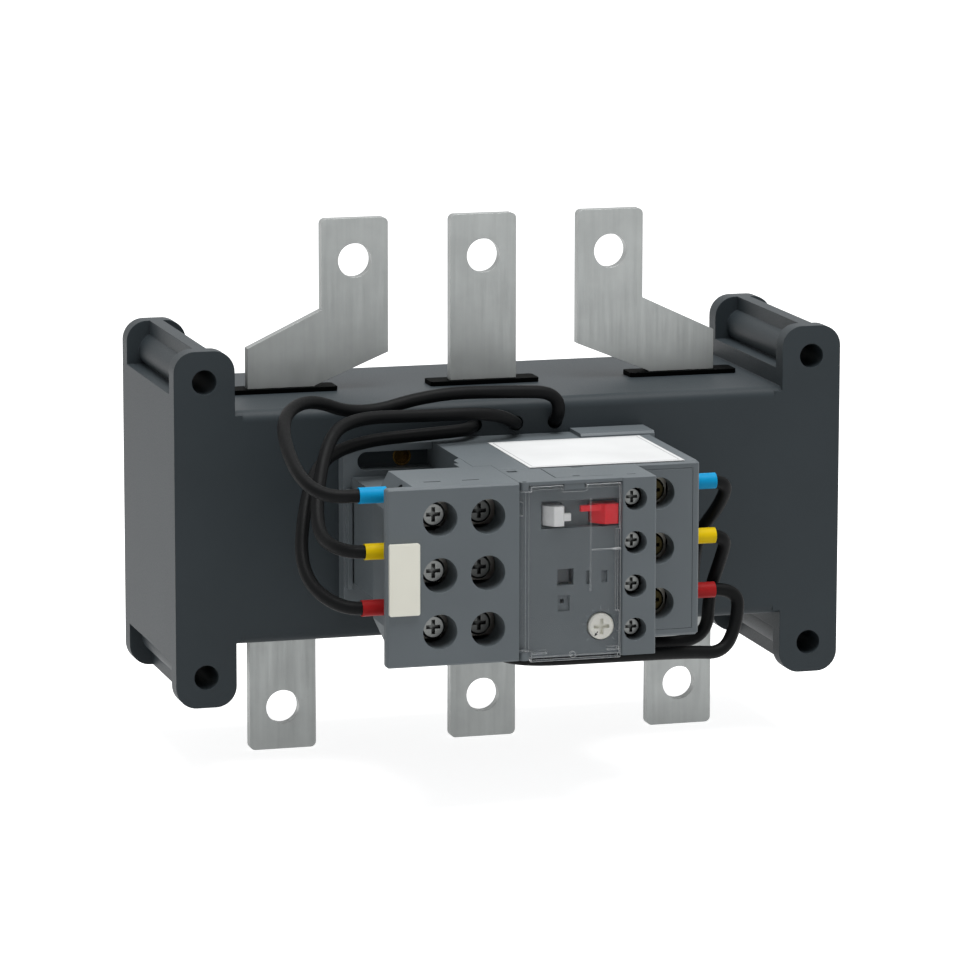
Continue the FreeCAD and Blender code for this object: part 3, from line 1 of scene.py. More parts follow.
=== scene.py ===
"""Looks of the thermal overload relay on its current-transformer block.

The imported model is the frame. Each operator below finishes one piece or group of pieces on it.
Lengths are in metres, in the model's frame: X right, Y back, Z up.
"""
import math

import bmesh
import bpy
from bpy.props import FloatProperty, FloatVectorProperty, IntProperty, PointerProperty
from bpy.types import Operator, Panel, PropertyGroup
from mathutils import Matrix, Vector


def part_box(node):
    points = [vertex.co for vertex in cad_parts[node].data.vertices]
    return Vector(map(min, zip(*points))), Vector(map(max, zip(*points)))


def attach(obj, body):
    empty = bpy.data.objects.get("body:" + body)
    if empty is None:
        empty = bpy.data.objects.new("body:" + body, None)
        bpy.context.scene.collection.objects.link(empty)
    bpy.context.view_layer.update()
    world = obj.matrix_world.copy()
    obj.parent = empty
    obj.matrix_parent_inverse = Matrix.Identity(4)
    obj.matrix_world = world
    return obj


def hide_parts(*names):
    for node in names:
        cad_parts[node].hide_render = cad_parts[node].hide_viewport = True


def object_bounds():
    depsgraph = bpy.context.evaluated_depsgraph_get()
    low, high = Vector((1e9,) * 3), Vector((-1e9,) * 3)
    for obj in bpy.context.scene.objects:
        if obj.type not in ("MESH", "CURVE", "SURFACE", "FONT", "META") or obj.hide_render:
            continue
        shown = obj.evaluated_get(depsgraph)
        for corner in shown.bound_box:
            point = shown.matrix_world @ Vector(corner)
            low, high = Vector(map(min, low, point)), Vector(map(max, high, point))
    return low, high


bl_info = {
    "name": "Thermal Overload Relay",
    "version": (1, 0, 0),
    "blender": (4, 5, 0),
    "location": "3D Viewport > Sidebar > Relay",
    "description": "Finishes a thermal overload relay on its current-transformer block",
    "category": "Object",
}

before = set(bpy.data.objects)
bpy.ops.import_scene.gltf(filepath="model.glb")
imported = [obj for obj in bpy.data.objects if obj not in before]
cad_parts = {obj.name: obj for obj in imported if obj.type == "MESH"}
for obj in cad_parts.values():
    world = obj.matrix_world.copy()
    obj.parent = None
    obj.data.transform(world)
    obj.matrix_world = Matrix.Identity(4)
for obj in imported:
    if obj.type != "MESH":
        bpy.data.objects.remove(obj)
cad_low, cad_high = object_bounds()

MM = 0.001
WHITE = (1, 1, 1, 1)

# Scales of a metal's grain along each axis: less than 1 draws it out along that axis.
EVEN = (1, 1, 1)
ALONG_X = (0.1, 1, 1)
ALONG_Y = (1, 0.1, 1)
ALONG_STRIP = (0.08, 1, 1)
ALONG_BAR = (1, 1, 0.05)

# Sockets of the Mix node in its colour mode.
MIX_FACTOR = 0
MIX_COLOURS = (6, 7)
MIX_RESULT = 2

# Cosine between the rounded and the plain normal, on an edge and on a flat.
EDGE_COSINE = 0.80
FLAT_COSINE = 0.985

# Clear cover: width of the outline where its edges carry a painted highlight, what share of it edges inside
# the outline keep, how solid a highlighted edge looks.
COVER_BORDER = 2.6 * MM
COVER_INNER_SHARE = 0.2
COVER_EDGE_ALPHA = 0.85

# Printed frame line of the label.
BORDER_INSET = 1.0 * MM
BORDER_WIDTH = 0.18 * MM

# Outline of the dial's pointer in millimetres, drawn pointing up from the dial's centre.
POINTER_OUTLINE = (
    (-0.12, 1.55), (0.12, 1.55), (0.12, 2.25), (0.42, 2.20), (0.0, 3.0), (-0.42, 2.20), (-0.12, 2.25),
)

# Scale round the dial: its sweep in degrees, its marks, and how far it lies behind the relay's front.
SCALE_SWEEP = 270
LONG_MARK_EVERY = 5
LONG_MARK = 0.9 * MM
SHORT_MARK = 0.55 * MM
MARK_HALF_WIDTH = 0.07 * MM
FACE_RECESS = 2.5 * MM

# Floor, lamps and camera, in metres and radians.
FLOOR_REACH = 30.0
FLOOR_GAP = 0.2 * MM
FLOOR_GLOW = 0.88
AMBIENT_COLOUR = (0.96, 0.98, 1.0, 1)
KEY_PLACE = (0.05, -0.34, 1.35)
KEY_SIZE = 1.1
FILL_PLACE = (0.95, -0.95, 0.55)
FILL_SIZE = 0.9
LAMP_AIM = (0, -0.06, 0)
CAMERA_PLACE = (-0.3858, -1.3706, 0.2571)
CAMERA_HEADING = math.radians(-16.06)
CAMERA_TILT = math.radians(90 - 10.29)
CAMERA_ROLL = math.radians(0.076)

# Control points of the leads' centre lines, from the terminal to the block, and the leads' lengths.
LEFT_ROUTES = {
    "blue": (
        (-0.0380, -0.1185, 0.0180), (-0.0500, -0.1185, 0.0181), (-0.0696, -0.1185, 0.0181),
        (-0.0700, -0.0890, 0.0319), (-0.0587, -0.0740, 0.0359), (-0.0432, -0.0680, 0.0291),
        (-0.0227, -0.0655, 0.0338), (-0.0015, -0.0650, 0.0333), (0.0113, -0.0646, 0.0325),
        (0.0115, -0.0642, 0.0242), (0.0115, -0.0560, 0.0242),
    ),
    "yellow": (
        (-0.0380, -0.1185, 0.0038), (-0.0492, -0.1185, 0.0039), (-0.0606, -0.1185, 0.0039),
        (-0.0642, -0.1035, 0.0064), (-0.0573, -0.0870, 0.0249), (-0.0485, -0.0765, 0.0303),
        (-0.0273, -0.0735, 0.0295), (-0.0075, -0.0710, 0.0290), (0.0009, -0.0660, 0.0242),
        (0.0009, -0.0560, 0.0242),
    ),
    "red": (
        (-0.0380, -0.1185, -0.0104), (-0.0493, -0.1185, -0.0103), (-0.0618, -0.1185, -0.0103),
        (-0.0684, -0.1050, -0.0035), (-0.0634, -0.0920, 0.0136), (-0.0555, -0.0790, 0.0209),
        (-0.0430, -0.0710, 0.0232), (-0.0270, -0.0690, 0.0238), (-0.0102, -0.0665, 0.0242),
        (-0.0102, -0.0560, 0.0242),
    ),
}
RIGHT_ROUTES = {
    "blue": (
        (0.0214, -0.0970, 0.0132), (0.0341, -0.0970, 0.0133), (0.0469, -0.0970, 0.0133),
        (0.0466, -0.0932, 0.0069), (0.0408, -0.0880, -0.0034), (0.0428, -0.0815, -0.0250),
        (0.0280, -0.0740, -0.0268), (0.0115, -0.0700, -0.0256), (0.0115, -0.0560, -0.0256),
    ),
    "yellow": (
        (0.0214, -0.0970, -0.0010), (0.0341, -0.0970, -0.0009), (0.0469, -0.0970, -0.0009),
        (0.0464, -0.0934, -0.0078), (0.0440, -0.0914, -0.0168), (0.0435, -0.0912, -0.0289),
        (0.0306, -0.0905, -0.0303), (0.0080, -0.0865, -0.0284), (0.0009, -0.0710, -0.0256),
        (0.0009, -0.0560, -0.0256),
    ),
    "red": (
        (0.0214, -0.0970, -0.0152), (0.0357, -0.0970, -0.0151), (0.0500, -0.0970, -0.0151),
        (0.0492, -0.0986, -0.0238), (0.0450, -0.1005, -0.0312), (0.0356, -0.1020, -0.0300),
        (0.0134, -0.1055, -0.0291), (-0.0145, -0.1045, -0.0291), (-0.0130, -0.0840, -0.0280),
        (-0.0102, -0.0700, -0.0256), (-0.0102, -0.0560, -0.0256),
    ),
}
LEAD_LENGTHS = {
    "left_blue": 0.1642, "left_yellow": 0.1363, "left_red": 0.1333,
    "right_blue": 0.1096, "right_yellow": 0.1181, "right_red": 0.1480,
}


def tint(red, green, blue):
    """A screen colour, 0 to 255, as the linear colour that shaders use."""
    values = []
    for level in (red, green, blue):
        level /= 255
        values.append(level / 12.92 if level <= 0.04045 else ((level + 0.055) / 1.055) ** 2.4)
    return tuple(values)


def colour_property(name, description, default):
    return FloatVectorProperty(name=name, description=description, subtype="COLOR", size=3, min=0.0,
                               max=1.0, default=default)


def length_property(name, description, default):
    return FloatProperty(name=name, description=description, subtype="DISTANCE", unit="LENGTH", min=0.0,
                         precision=5, default=default)


class RelaySizes(PropertyGroup):
    """Sizes that the finishes and small pieces share."""
    lead_diameter: length_property("Lead diameter", "Outer diameter of the leads' insulation", 3.4 * MM)
    edge_radius: length_property("Edge radius", "Radius that light sees on moulded edges", 0.28 * MM)
    metal_edge_radius: length_property("Metal edge radius", "Radius that light sees on metal edges",
                                       0.12 * MM)
    cover_edge_radius: length_property("Cover edge radius", "Radius that light sees on the cover's edges",
                                       0.34 * MM)
    grain_size: length_property("Mould grain", "Size of the spark-eroded grain on moulded faces", 0.35 * MM)
    grain_depth: length_property("Grain depth", "Height of the mould grain", 0.012 * MM)
    print_thickness: length_property("Print thickness", "Thickness of the dial's and the label's print",
                                     0.03 * MM)
    dial_mark_radius: length_property("Scale radius", "Inner radius of the marks round the dial", 4.25 * MM)


class RelayColours(PropertyGroup):
    """Colours of the finishes."""
    block: colour_property("Block", "Dark plastic of the transformer block", tint(48, 55, 59))
    bushing: colour_property("Bushing", "Black plastic of the bar bushings", tint(4, 5, 5))
    relay: colour_property("Relay", "Grey plastic of the relay and its adapter", tint(101, 108, 112))
    bar: colour_property("Bar", "Tin plating of the busbars", tint(159, 162, 161))
    marker: colour_property("Marker", "Cream plastic of the marker plate", tint(250, 248, 234))
    label: colour_property("Label", "Blank label film", tint(236, 237, 237))
    reset: colour_property("Reset button", "White plastic of the reset button", tint(252, 253, 253))
    stop: colour_property("Stop button", "Red plastic of the stop button", tint(242, 30, 45))
    dial: colour_property("Dial", "Cream plastic of the setting dial", tint(252, 250, 240))
    lead: colour_property("Lead", "Black insulation of the leads", tint(7, 8, 9))
    blue: colour_property("Blue sleeve", "Blue phase sleeves", tint(14, 156, 212))
    yellow: colour_property("Yellow sleeve", "Yellow phase sleeves", tint(250, 212, 14))
    red: colour_property("Red sleeve", "Red phase sleeves", tint(174, 34, 36))
    screw: colour_property("Screw", "Zinc plating of the screws", tint(108, 110, 109))
    # Painted shade: the main screws' colour is darkened for the shade of their deep wells.
    main_screw: colour_property("Main screw", "Plating of the main terminal screws", tint(38, 34, 20))


class StageSettings(PropertyGroup):
    """Floor, lamps and camera."""
    floor_colour: colour_property("Floor", "Colour of the floor", tint(225, 225, 225))
    key_power: FloatProperty(name="Key lamp", description="Power of the large lamp above the front",
                             subtype="POWER", unit="POWER", min=0.0, default=19.5)
    fill_power: FloatProperty(name="Fill lamp", description="Power of the lamp at the front right",
                              subtype="POWER", unit="POWER", min=0.0, default=0.25)
    ambient: FloatProperty(name="Ambient", description="Strength of the surrounding light", min=0.0,
                           default=0.21)
    lens: FloatProperty(name="Lens", description="Focal length in millimetres on a 36 mm sensor", min=10.0,
                        default=200.0)


# Shader building


def new_material(name):
    """Empty principled material: (material, node tree, shader node)."""
    material = bpy.data.materials.new(name)
    material.use_nodes = True
    tree = material.node_tree
    tree.nodes.clear()
    output = tree.nodes.new("ShaderNodeOutputMaterial")
    shader = tree.nodes.new("ShaderNodeBsdfPrincipled")
    tree.links.new(shader.outputs["BSDF"], output.inputs["Surface"])
    return material, tree, shader


def stretched_place(tree, stretch=EVEN):
    """Object coordinates, scaled so that a pattern is drawn out along an axis where its scale is small."""
    coordinates = tree.nodes.new("ShaderNodeTexCoord")
    mapping = tree.nodes.new("ShaderNodeMapping")
    mapping.inputs["Scale"].default_value = stretch
    tree.links.new(coordinates.outputs["Object"], mapping.inputs["Vector"])
    return mapping.outputs["Vector"]


def noise(tree, place, size, detail=3):
    """Noise whose features are about one size across."""
    node = tree.nodes.new("ShaderNodeTexNoise")
    node.inputs["Scale"].default_value = 1 / size
    node.inputs["Detail"].default_value = detail
    node.inputs["Roughness"].default_value = 0.55
    tree.links.new(place, node.inputs["Vector"])
    return node.outputs["Fac"]


def ramp(tree, value, low, high, low_colour, high_colour):
    """Colour ramp between two stops."""
    node = tree.nodes.new("ShaderNodeValToRGB")
    stops = node.color_ramp.elements
    stops[0].position = low
    stops[0].color = (*low_colour, 1)
    stops[1].position = high
    stops[1].color = (*high_colour, 1)
    tree.links.new(value, node.inputs["Fac"])
    return node.outputs["Color"]


def scaled(colour, factor):
    """A colour made lighter or darker, kept within 1."""
    return tuple(min(1.0, channel * factor) for channel in colour)


def rescale(tree, value, out_low, out_high, in_low=0.3, in_high=0.7):
    """Value stretched from one range to another, clamped."""
    node = tree.nodes.new("ShaderNodeMapRange")
    node.inputs["From Min"].default_value = in_low
    node.inputs["From Max"].default_value = in_high
    node.inputs["To Min"].default_value = out_low
    node.inputs["To Max"].default_value = out_high
    tree.links.new(value, node.inputs["Value"])
    return node.outputs["Result"]


def feed(tree, value, socket):
    """Links an output to an input, or sets the input to a plain value."""
    if isinstance(value, bpy.types.NodeSocket):
        tree.links.new(value, socket)
    else:
        socket.default_value = value


def maths(tree, operation, *values, clamp=False):
    """Result of a Math node on outputs and plain numbers."""
    node = tree.nodes.new("ShaderNodeMath")
    node.operation = operation
    node.use_clamp = clamp
    for socket, value in zip(node.inputs, values):
        feed(tree, value, socket)
    return node.outputs["Value"]


def mixed(tree, amount, base, colour):
    """Mix from a colour output to a plain colour."""
    node = tree.nodes.new("ShaderNodeMix")
    node.data_type = "RGBA"
    feed(tree, amount, node.inputs[MIX_FACTOR])
    feed(tree, base, node.inputs[MIX_COLOURS[0]])
    feed(tree, (*colour, 1), node.inputs[MIX_COLOURS[1]])
    return node.outputs[MIX_RESULT]


def rounded_edges(tree, radius):
    """(normal rounded over edges, mask that is 1 on edges and 0 on flats)."""
    bevel = tree.nodes.new("ShaderNodeBevel")
    bevel.samples = 6
    bevel.inputs["Radius"].default_value = radius
    geometry = tree.nodes.new("ShaderNodeNewGeometry")
    dot = tree.nodes.new("ShaderNodeVectorMath")
    dot.operation = "DOT_PRODUCT"
    tree.links.new(bevel.outputs["Normal"], dot.inputs[0])
    tree.links.new(geometry.outputs["Normal"], dot.inputs[1])
    mask = rescale(tree, dot.outputs["Value"], 1.0, 0.0, EDGE_COSINE, FLAT_COSINE)
    return bevel.outputs["Normal"], mask


def bump(tree, height, distance, strength, normal=None):
    """Normal raised by a height, on top of another normal where one is given."""
    node = tree.nodes.new("ShaderNodeBump")
    node.inputs["Distance"].default_value = distance
    node.inputs["Strength"].default_value = strength
    tree.links.new(height, node.inputs["Height"])
    if normal is not None:
        tree.links.new(normal, node.inputs["Normal"])
    return node.outputs["Normal"]


def moulded_plastic(name, colour, roughness, edge_highlight_gain, grain=1.0, specular=0.45):
    """Moulded plastic: faint colour drift, spark-eroded grain, a patchy painted highlight on the edges."""
    sizes = bpy.context.scene.relay_sizes
    material, tree, shader = new_material(name)
    place = stretched_place(tree)
    drift = ramp(tree, noise(tree, place, 22 * MM, 2), 0.3, 0.7, scaled(colour, 0.95), scaled(colour, 1.05))
    normal, edge = rounded_edges(tree, sizes.edge_radius)
    # Painted highlight: the colour turns lighter on edges, in patches, by the edge gain.
    patchy_edge_highlight = maths(tree, "MULTIPLY", edge, rescale(tree, noise(tree, place, 3 * MM, 4), 0.35, 0.9))
    painted_light_colour = mixed(tree, patchy_edge_highlight, drift, scaled(colour, edge_highlight_gain))
    tree.links.new(painted_light_colour, shader.inputs["Base Color"])
    fine = noise(tree, place, sizes.grain_size, 4)
    tree.links.new(rescale(tree, fine, roughness - 0.05, roughness + 0.06), shader.inputs["Roughness"])
    tree.links.new(bump(tree, fine, sizes.grain_depth, grain, normal), shader.inputs["Normal"])
    shader.inputs["Specular IOR Level"].default_value = specular
    return material


def polished_plastic(name, colour, roughness, coat, specular):
    """Smooth coloured plastic with a thin gloss, slight flow marks and a painted highlight on the edges."""
    sizes = bpy.context.scene.relay_sizes
    material, tree, shader = new_material(name)
    place = stretched_place(tree)
    drift = ramp(tree, noise(tree, place, 4 * MM, 3), 0.3, 0.7, scaled(colour, 0.93), scaled(colour, 1.04))
    normal, edge = rounded_edges(tree, sizes.edge_radius)
    # Painted highlight: the colour is lighter on edges.
    tree.links.new(mixed(tree, edge, drift, scaled(colour, 1.2)), shader.inputs["Base Color"])
    flow = noise(tree, place, 1.2 * MM, 2)
    tree.links.new(rescale(tree, flow, roughness - 0.04, roughness + 0.06), shader.inputs["Roughness"])
    tree.links.new(bump(tree, flow, 0.01 * MM, 0.5, normal), shader.inputs["Normal"])
    shader.inputs["Coat Weight"].default_value = coat
    shader.inputs["Coat Roughness"].default_value = 0.12
    shader.inputs["Specular IOR Level"].default_value = specular
    return material


def plated_metal(name, colour, roughness, stretch=EVEN, streak=0.3 * MM, metallic=1.0, shade_share=0.0,
                 shade_reach=1.6 * MM, relief=0.6):
    """Rolled or plated metal: fine streaks, cloudy plating, a painted highlight on the edges, painted shade
    in recesses where asked.
    """
    sizes = bpy.context.scene.relay_sizes
    material, tree, shader = new_material(name)
    streaks = noise(tree, stretched_place(tree, stretch), streak, 3)
    cloud = noise(tree, stretched_place(tree), 9 * MM, 3)
    base = ramp(tree, cloud, 0.3, 0.7, scaled(colour, 0.93), scaled(colour, 1.05))
    normal, edge = rounded_edges(tree, sizes.metal_edge_radius)
    # Painted highlight: the colour is lighter on edges.
    painted_light_colour = mixed(tree, edge, base, scaled(colour, 1.35))
    # Painted shade: the colour darkens where ambient occlusion finds recesses, by the share asked.
    if shade_share:
        hollow = tree.nodes.new("ShaderNodeAmbientOcclusion")
        hollow.samples = 8
        hollow.inputs["Distance"].default_value = shade_reach
        shade_amount = rescale(tree, hollow.outputs["AO"], shade_share, 0.0, 0.35, 0.95)
        painted_light_colour = mixed(tree, shade_amount, painted_light_colour, scaled(colour, 0.12))
    tree.links.new(painted_light_colour, shader.inputs["Base Color"])
    tree.links.new(rescale(tree, streaks, roughness - 0.06, roughness + 0.09), shader.inputs["Roughness"])
    tree.links.new(bump(tree, streaks, 0.008 * MM, relief, normal), shader.inputs["Normal"])
    shader.inputs["Metallic"].default_value = metallic
    return material


def banded_material(name, light, dark, axis, pitch, roughness, metallic, depth):
    """Stacked sheets or laid turns: fine bands across one axis with grooves between them."""
    material, tree, shader = new_material(name)
    wave = tree.nodes.new("ShaderNodeTexWave")
    wave.wave_type = "BANDS"
    wave.bands_direction = axis
    wave.inputs["Scale"].default_value = math.pi / (10 * pitch)
    wave.inputs["Distortion"].default_value = 0.4
    wave.inputs["Detail"].default_value = 2
    tree.links.new(stretched_place(tree), wave.inputs["Vector"])
    tree.links.new(ramp(tree, wave.outputs["Fac"], 0.1, 0.6, dark, light), shader.inputs["Base Color"])
    dull = rescale(tree, wave.outputs["Fac"], roughness + 0.1, roughness - 0.05)
    tree.links.new(dull, shader.inputs["Roughness"])
    tree.links.new(bump(tree, wave.outputs["Fac"], depth, 0.8), shader.inputs["Normal"])
    shader.inputs["Metallic"].default_value = metallic
    return material


def near_outline(tree, low, high, least, border):
    """Share for an edge by its place in a window in X and Z: least in the middle, 1 in the border."""
    coordinates = tree.nodes.new("ShaderNodeTexCoord")
    parts = tree.nodes.new("ShaderNodeSeparateXYZ")
    tree.links.new(coordinates.outputs["Object"], parts.inputs["Vector"])
    shares = []
    for axis in ("X", "Z"):
        at = "XYZ".index(axis)
        middle = (low[at] + high[at]) / 2
        half = (high[at] - low[at]) / 2
        offset = maths(tree, "ABSOLUTE", maths(tree, "SUBTRACT", parts.outputs[axis], middle))
        shares.append(rescale(tree, offset, least, 1.0, half - border, half - 0.7 * border))
    return maths(tree, "MAXIMUM", *shares)


def clear_plastic(name):
    """Clear polished plastic: faint haze on the flats, a painted highlight on its edges, gloss at low angles
    that is partly painted as pale colour.
    """
    sizes = bpy.context.scene.relay_sizes
    material, tree, shader = new_material(name)
    place = stretched_place(tree)
    normal, edge = rounded_edges(tree, sizes.cover_edge_radius)
    weight = tree.nodes.new("ShaderNodeLayerWeight")
    weight.inputs["Blend"].default_value = 0.5
    # Alpha rises at low angles so the pale colour shows there: painted reflection along with the real gloss.
    rim = rescale(tree, weight.outputs["Facing"], 0.0, 0.8, 0.55, 0.95)
    haze = rescale(tree, noise(tree, place, 6 * MM), 0.02, 0.05)
    low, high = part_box("clear_cover")
    # Painted highlight: edges near the outline turn more solid.
    cover_edge_highlight = maths(tree, "MULTIPLY", edge, near_outline(tree, low, high, COVER_INNER_SHARE, COVER_BORDER))
    veil = maths(tree, "ADD", rim, haze)
    alpha = maths(tree, "MULTIPLY_ADD", cover_edge_highlight, COVER_EDGE_ALPHA, veil, clamp=True)
    tree.links.new(alpha, shader.inputs["Alpha"])
    # Painted highlight: the colour is near white on edges.
    cover_highlight_colour = ramp(tree, edge, 0.1, 0.9, tint(150, 156, 160), tint(246, 248, 249))
    tree.links.new(cover_highlight_colour, shader.inputs["Base Color"])
    tree.links.new(rescale(tree, noise(tree, place, 2 * MM), 0.04, 0.10), shader.inputs["Roughness"])
    tree.links.new(normal, shader.inputs["Normal"])
    shader.inputs["Specular IOR Level"].default_value = 0.7
    return material


def insulation(name, colour, roughness):
    """Extruded insulation: faint dust, a finely uneven skin and little gloss."""
    material, tree, shader = new_material(name)
    place = stretched_place(tree)
    dust = noise(tree, place, 5 * MM, 5)
    tree.links.new(ramp(tree, dust, 0.35, 0.75, colour, scaled(colour, 1.4)), shader.inputs["Base Color"])
    skin = noise(tree, place, 0.6 * MM, 4)
    tree.links.new(rescale(tree, skin, roughness - 0.06, roughness + 0.08), shader.inputs["Roughness"])
    tree.links.new(bump(tree, skin, 0.02 * MM, 0.6), shader.inputs["Normal"])
    shader.inputs["Specular IOR Level"].default_value = 0.1
    return material


def seen_directly(tree):
    """1 for rays from the camera and for those that metal and glass send on, 0 for the rest."""
    path = tree.nodes.new("ShaderNodeLightPath")
    value = path.outputs["Is Camera Ray"]
    for kind in ("Is Glossy Ray", "Is Transmission Ray"):
        value = maths(tree, "MAXIMUM", value, path.outputs[kind])
    return value


def dress(material, *nodes):
    """Gives CAD nodes one material, replacing what they came with."""
    for node in nodes:
        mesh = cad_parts[node].data
        mesh.materials.clear()
        mesh.materials.append(material)


# Small pieces


def mesh_object(name, build, material, body):
    """New mesh from a bmesh builder, riding on a body."""
    mesh = bpy.data.meshes.new(name)
    shape = bmesh.new()
    build(shape)
    bmesh.ops.recalc_face_normals(shape, faces=shape.faces)
    shape.to_mesh(mesh)
    shape.free()
    mesh.materials.append(material)
    made = bpy.data.objects.new(name, mesh)
    bpy.context.scene.collection.objects.link(made)
    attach(made, body)


def add_plate(shape, outline, front, back):
    """Closed flat plate from an outline of (x, z) points, between two places in Y."""
    near = [shape.verts.new((x, front, z)) for x, z in outline]
    far = [shape.verts.new((x, back, z)) for x, z in outline]
    shape.faces.new(near)
    shape.faces.new(list(reversed(far)))
    for here in range(len(outline)):
        there = (here + 1) % len(outline)
        shape.faces.new((near[here], far[here], far[there], near[there]))


def turned(points, angle, centre):
    """Points (x, z) drawn round the origin, turned by an angle and moved to a centre."""
    cos = math.cos(angle)
    sin = math.sin(angle)
    return [(centre[0] + x * cos - z * sin, centre[1] + x * sin + z * cos) for x, z in points]


def lead(name, points, length):
    """One lead as a smooth curve along its route, in place of its CAD tube."""
    sizes = bpy.context.scene.relay_sizes
    curve = bpy.data.curves.new(name, "CURVE")
    curve.dimensions = "3D"
    curve.bevel_depth = sizes.lead_diameter / 2
    curve.bevel_resolution = 5
    curve.use_fill_caps = True
    spline = curve.splines.new("NURBS")
    spline.points.add(len(points) - 1)
    for point, place in zip(spline.points, points):
        point.co = (*place, 1)
    spline.order_u = 3
    spline.use_endpoint_u = True
    spline.resolution_u = 10
    curve.materials.append(bpy.data.materials["lead_insulation"])
    made = bpy.data.objects.new(name, curve)
    bpy.context.scene.collection.objects.link(made)
    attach(made, "main")
    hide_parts(name.replace("lead_", "wire_"))


# Operators


class RELAY_OT_leads(Operator):
    """Lays the six leads along their routes and gives their sleeves the phase colours"""
    bl_idname = "relay.leads"
    bl_label = "Leads and sleeves"

    def execute(self, context):
        colours = context.scene.relay_colours
        insulation("lead_insulation", tuple(colours.lead), roughness=0.5)
        for side, routes in (("left", LEFT_ROUTES), ("right", RIGHT_ROUTES)):
            for colour, points in routes.items():
                key = side + "_" + colour
                lead("lead_" + key, points, LEAD_LENGTHS[key])
        for colour in ("blue", "yellow", "red"):
            sleeve = polished_plastic("sleeve_" + colour, tuple(getattr(colours, colour)), roughness=0.45,
                                      coat=0.0, specular=0.12)
            dress(sleeve, "sleeve_left_" + colour, "sleeve_right_" + colour)
        return {"FINISHED"}


class RELAY_OT_block(Operator):
    """Finishes the transformer block, its rear cover and the bar bushings"""
    bl_idname = "relay.block"
    bl_label = "Transformer block"

    def execute(self, context):
        colours = context.scene.relay_colours
        plastic = moulded_plastic("block_plastic", tuple(colours.block), roughness=0.52, edge_highlight_gain=1.4,
                                  specular=0.22)
        dress(plastic, "ct_housing", "ct_back_cover")
        black = moulded_plastic("bushing_plastic", tuple(colours.bushing), roughness=0.6, edge_highlight_gain=1.6,
                                specular=0.01)
        dress(black, "top_bushings", "bottom_bushings")
        # Painted shade down the inserts' bores.
        brass = plated_metal("insert_brass", tint(190, 150, 80), roughness=0.3, shade_share=1.0, shade_reach=7 * MM)
        dress(brass, "threaded_inserts")
        zinc = plated_metal("cover_screw_zinc", tuple(colours.screw), roughness=0.34)
        dress(zinc, "back_cover_screws")
        return {"FINISHED"}


class RELAY_OT_bars(Operator):
    """Finishes the tin-plated busbars"""
    bl_idname = "relay.bars"
    bl_label = "Busbars"

    def execute(self, context):
        bar = plated_metal("bar_tin", tuple(context.scene.relay_colours.bar), roughness=0.46,
                           stretch=ALONG_BAR, streak=1.0 * MM, metallic=0.85, relief=0.15)
        dress(bar, "busbar_left", "busbar_middle", "busbar_right")
        return {"FINISHED"}


class RELAY_OT_transformers(Operator):
    """Finishes the laminated cores, their bobbins and windings"""
    bl_idname = "relay.transformers"
    bl_label = "Cores and windings"

    def execute(self, context):
        iron = banded_material("core_laminations", tint(120, 122, 126), tint(60, 62, 66), "Z",
                               pitch=0.35 * MM, roughness=0.42, metallic=0.9, depth=0.04 * MM)
        copper = banded_material("winding_copper", tint(190, 110, 60), tint(96, 44, 20), "X",
                                 pitch=0.5 * MM, roughness=0.3, metallic=0.95, depth=0.2 * MM)
        for place in ("left", "middle", "right"):
            dress(iron, "core_" + place)
            dress(copper, "winding_" + place)
        bobbin = moulded_plastic("bobbin_plastic", tint(206, 200, 178), roughness=0.4, edge_highlight_gain=1.1,
                                 grain=0.5)
        dress(bobbin, "winding_bobbins")
        return {"FINISHED"}


class RELAY_OT_housings(Operator):
    """Finishes the grey housings of the relay and its adapter"""
    bl_idname = "relay.housings"
    bl_label = "Relay and adapter housings"

    def execute(self, context):
        grey = tuple(context.scene.relay_colours.relay)
        adapter = moulded_plastic("adapter_plastic", grey, roughness=0.48, edge_highlight_gain=1.4, specular=0.3)
        dress(adapter, "adapter_housing", "adapter_plate")
        relay = moulded_plastic("relay_plastic", grey, roughness=0.46, edge_highlight_gain=1.4, specular=0.3)
        dress(relay, "relay_base", "relay_face", "main_terminal_plate")
        return {"FINISHED"}


class RELAY_OT_plates(Operator):
    """Finishes the blank marker plate and the blank label with its printed frame line"""
    bl_idname = "relay.plates"
    bl_label = "Marker and label"

    def execute(self, context):
        colours = context.scene.relay_colours
        marker = moulded_plastic("marker_plastic", tuple(colours.marker), roughness=0.36, edge_highlight_gain=1.1,
                                 grain=0.5)
        dress(marker, "marker_plate")
        film = moulded_plastic("label_film", tuple(colours.label), roughness=0.5, edge_highlight_gain=1.0, grain=0.3,
                               specular=0.15)
        dress(film, "label_plate")
        low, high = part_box("label_plate")
        border = moulded_plastic("label_border", tint(170, 172, 172), roughness=0.4, edge_highlight_gain=1.0, grain=0.3)
        top = high.z + 0.5 * context.scene.relay_sizes.print_thickness

        def corners(inset):
            return [(low.x + inset, low.y + inset), (high.x - inset, low.y + inset),
                    (high.x - inset, high.y - inset), (low.x + inset, high.y - inset)]

        def frame_line(shape):
            outer = corners(BORDER_INSET)
            inner = corners(BORDER_INSET + BORDER_WIDTH)
            rings = []
            for z, ring in ((top, outer), (top, inner), (high.z, inner), (high.z, outer)):
                rings.append([shape.verts.new((x, y, z)) for x, y in ring])
            for first, second in zip(rings, rings[1:] + rings[:1]):
                for here in range(len(first)):
                    there = (here + 1) % len(first)
                    shape.faces.new((first[here], first[there], second[there], second[here]))

        mesh_object("label_border", frame_line, border, "main")
        return {"FINISHED"}


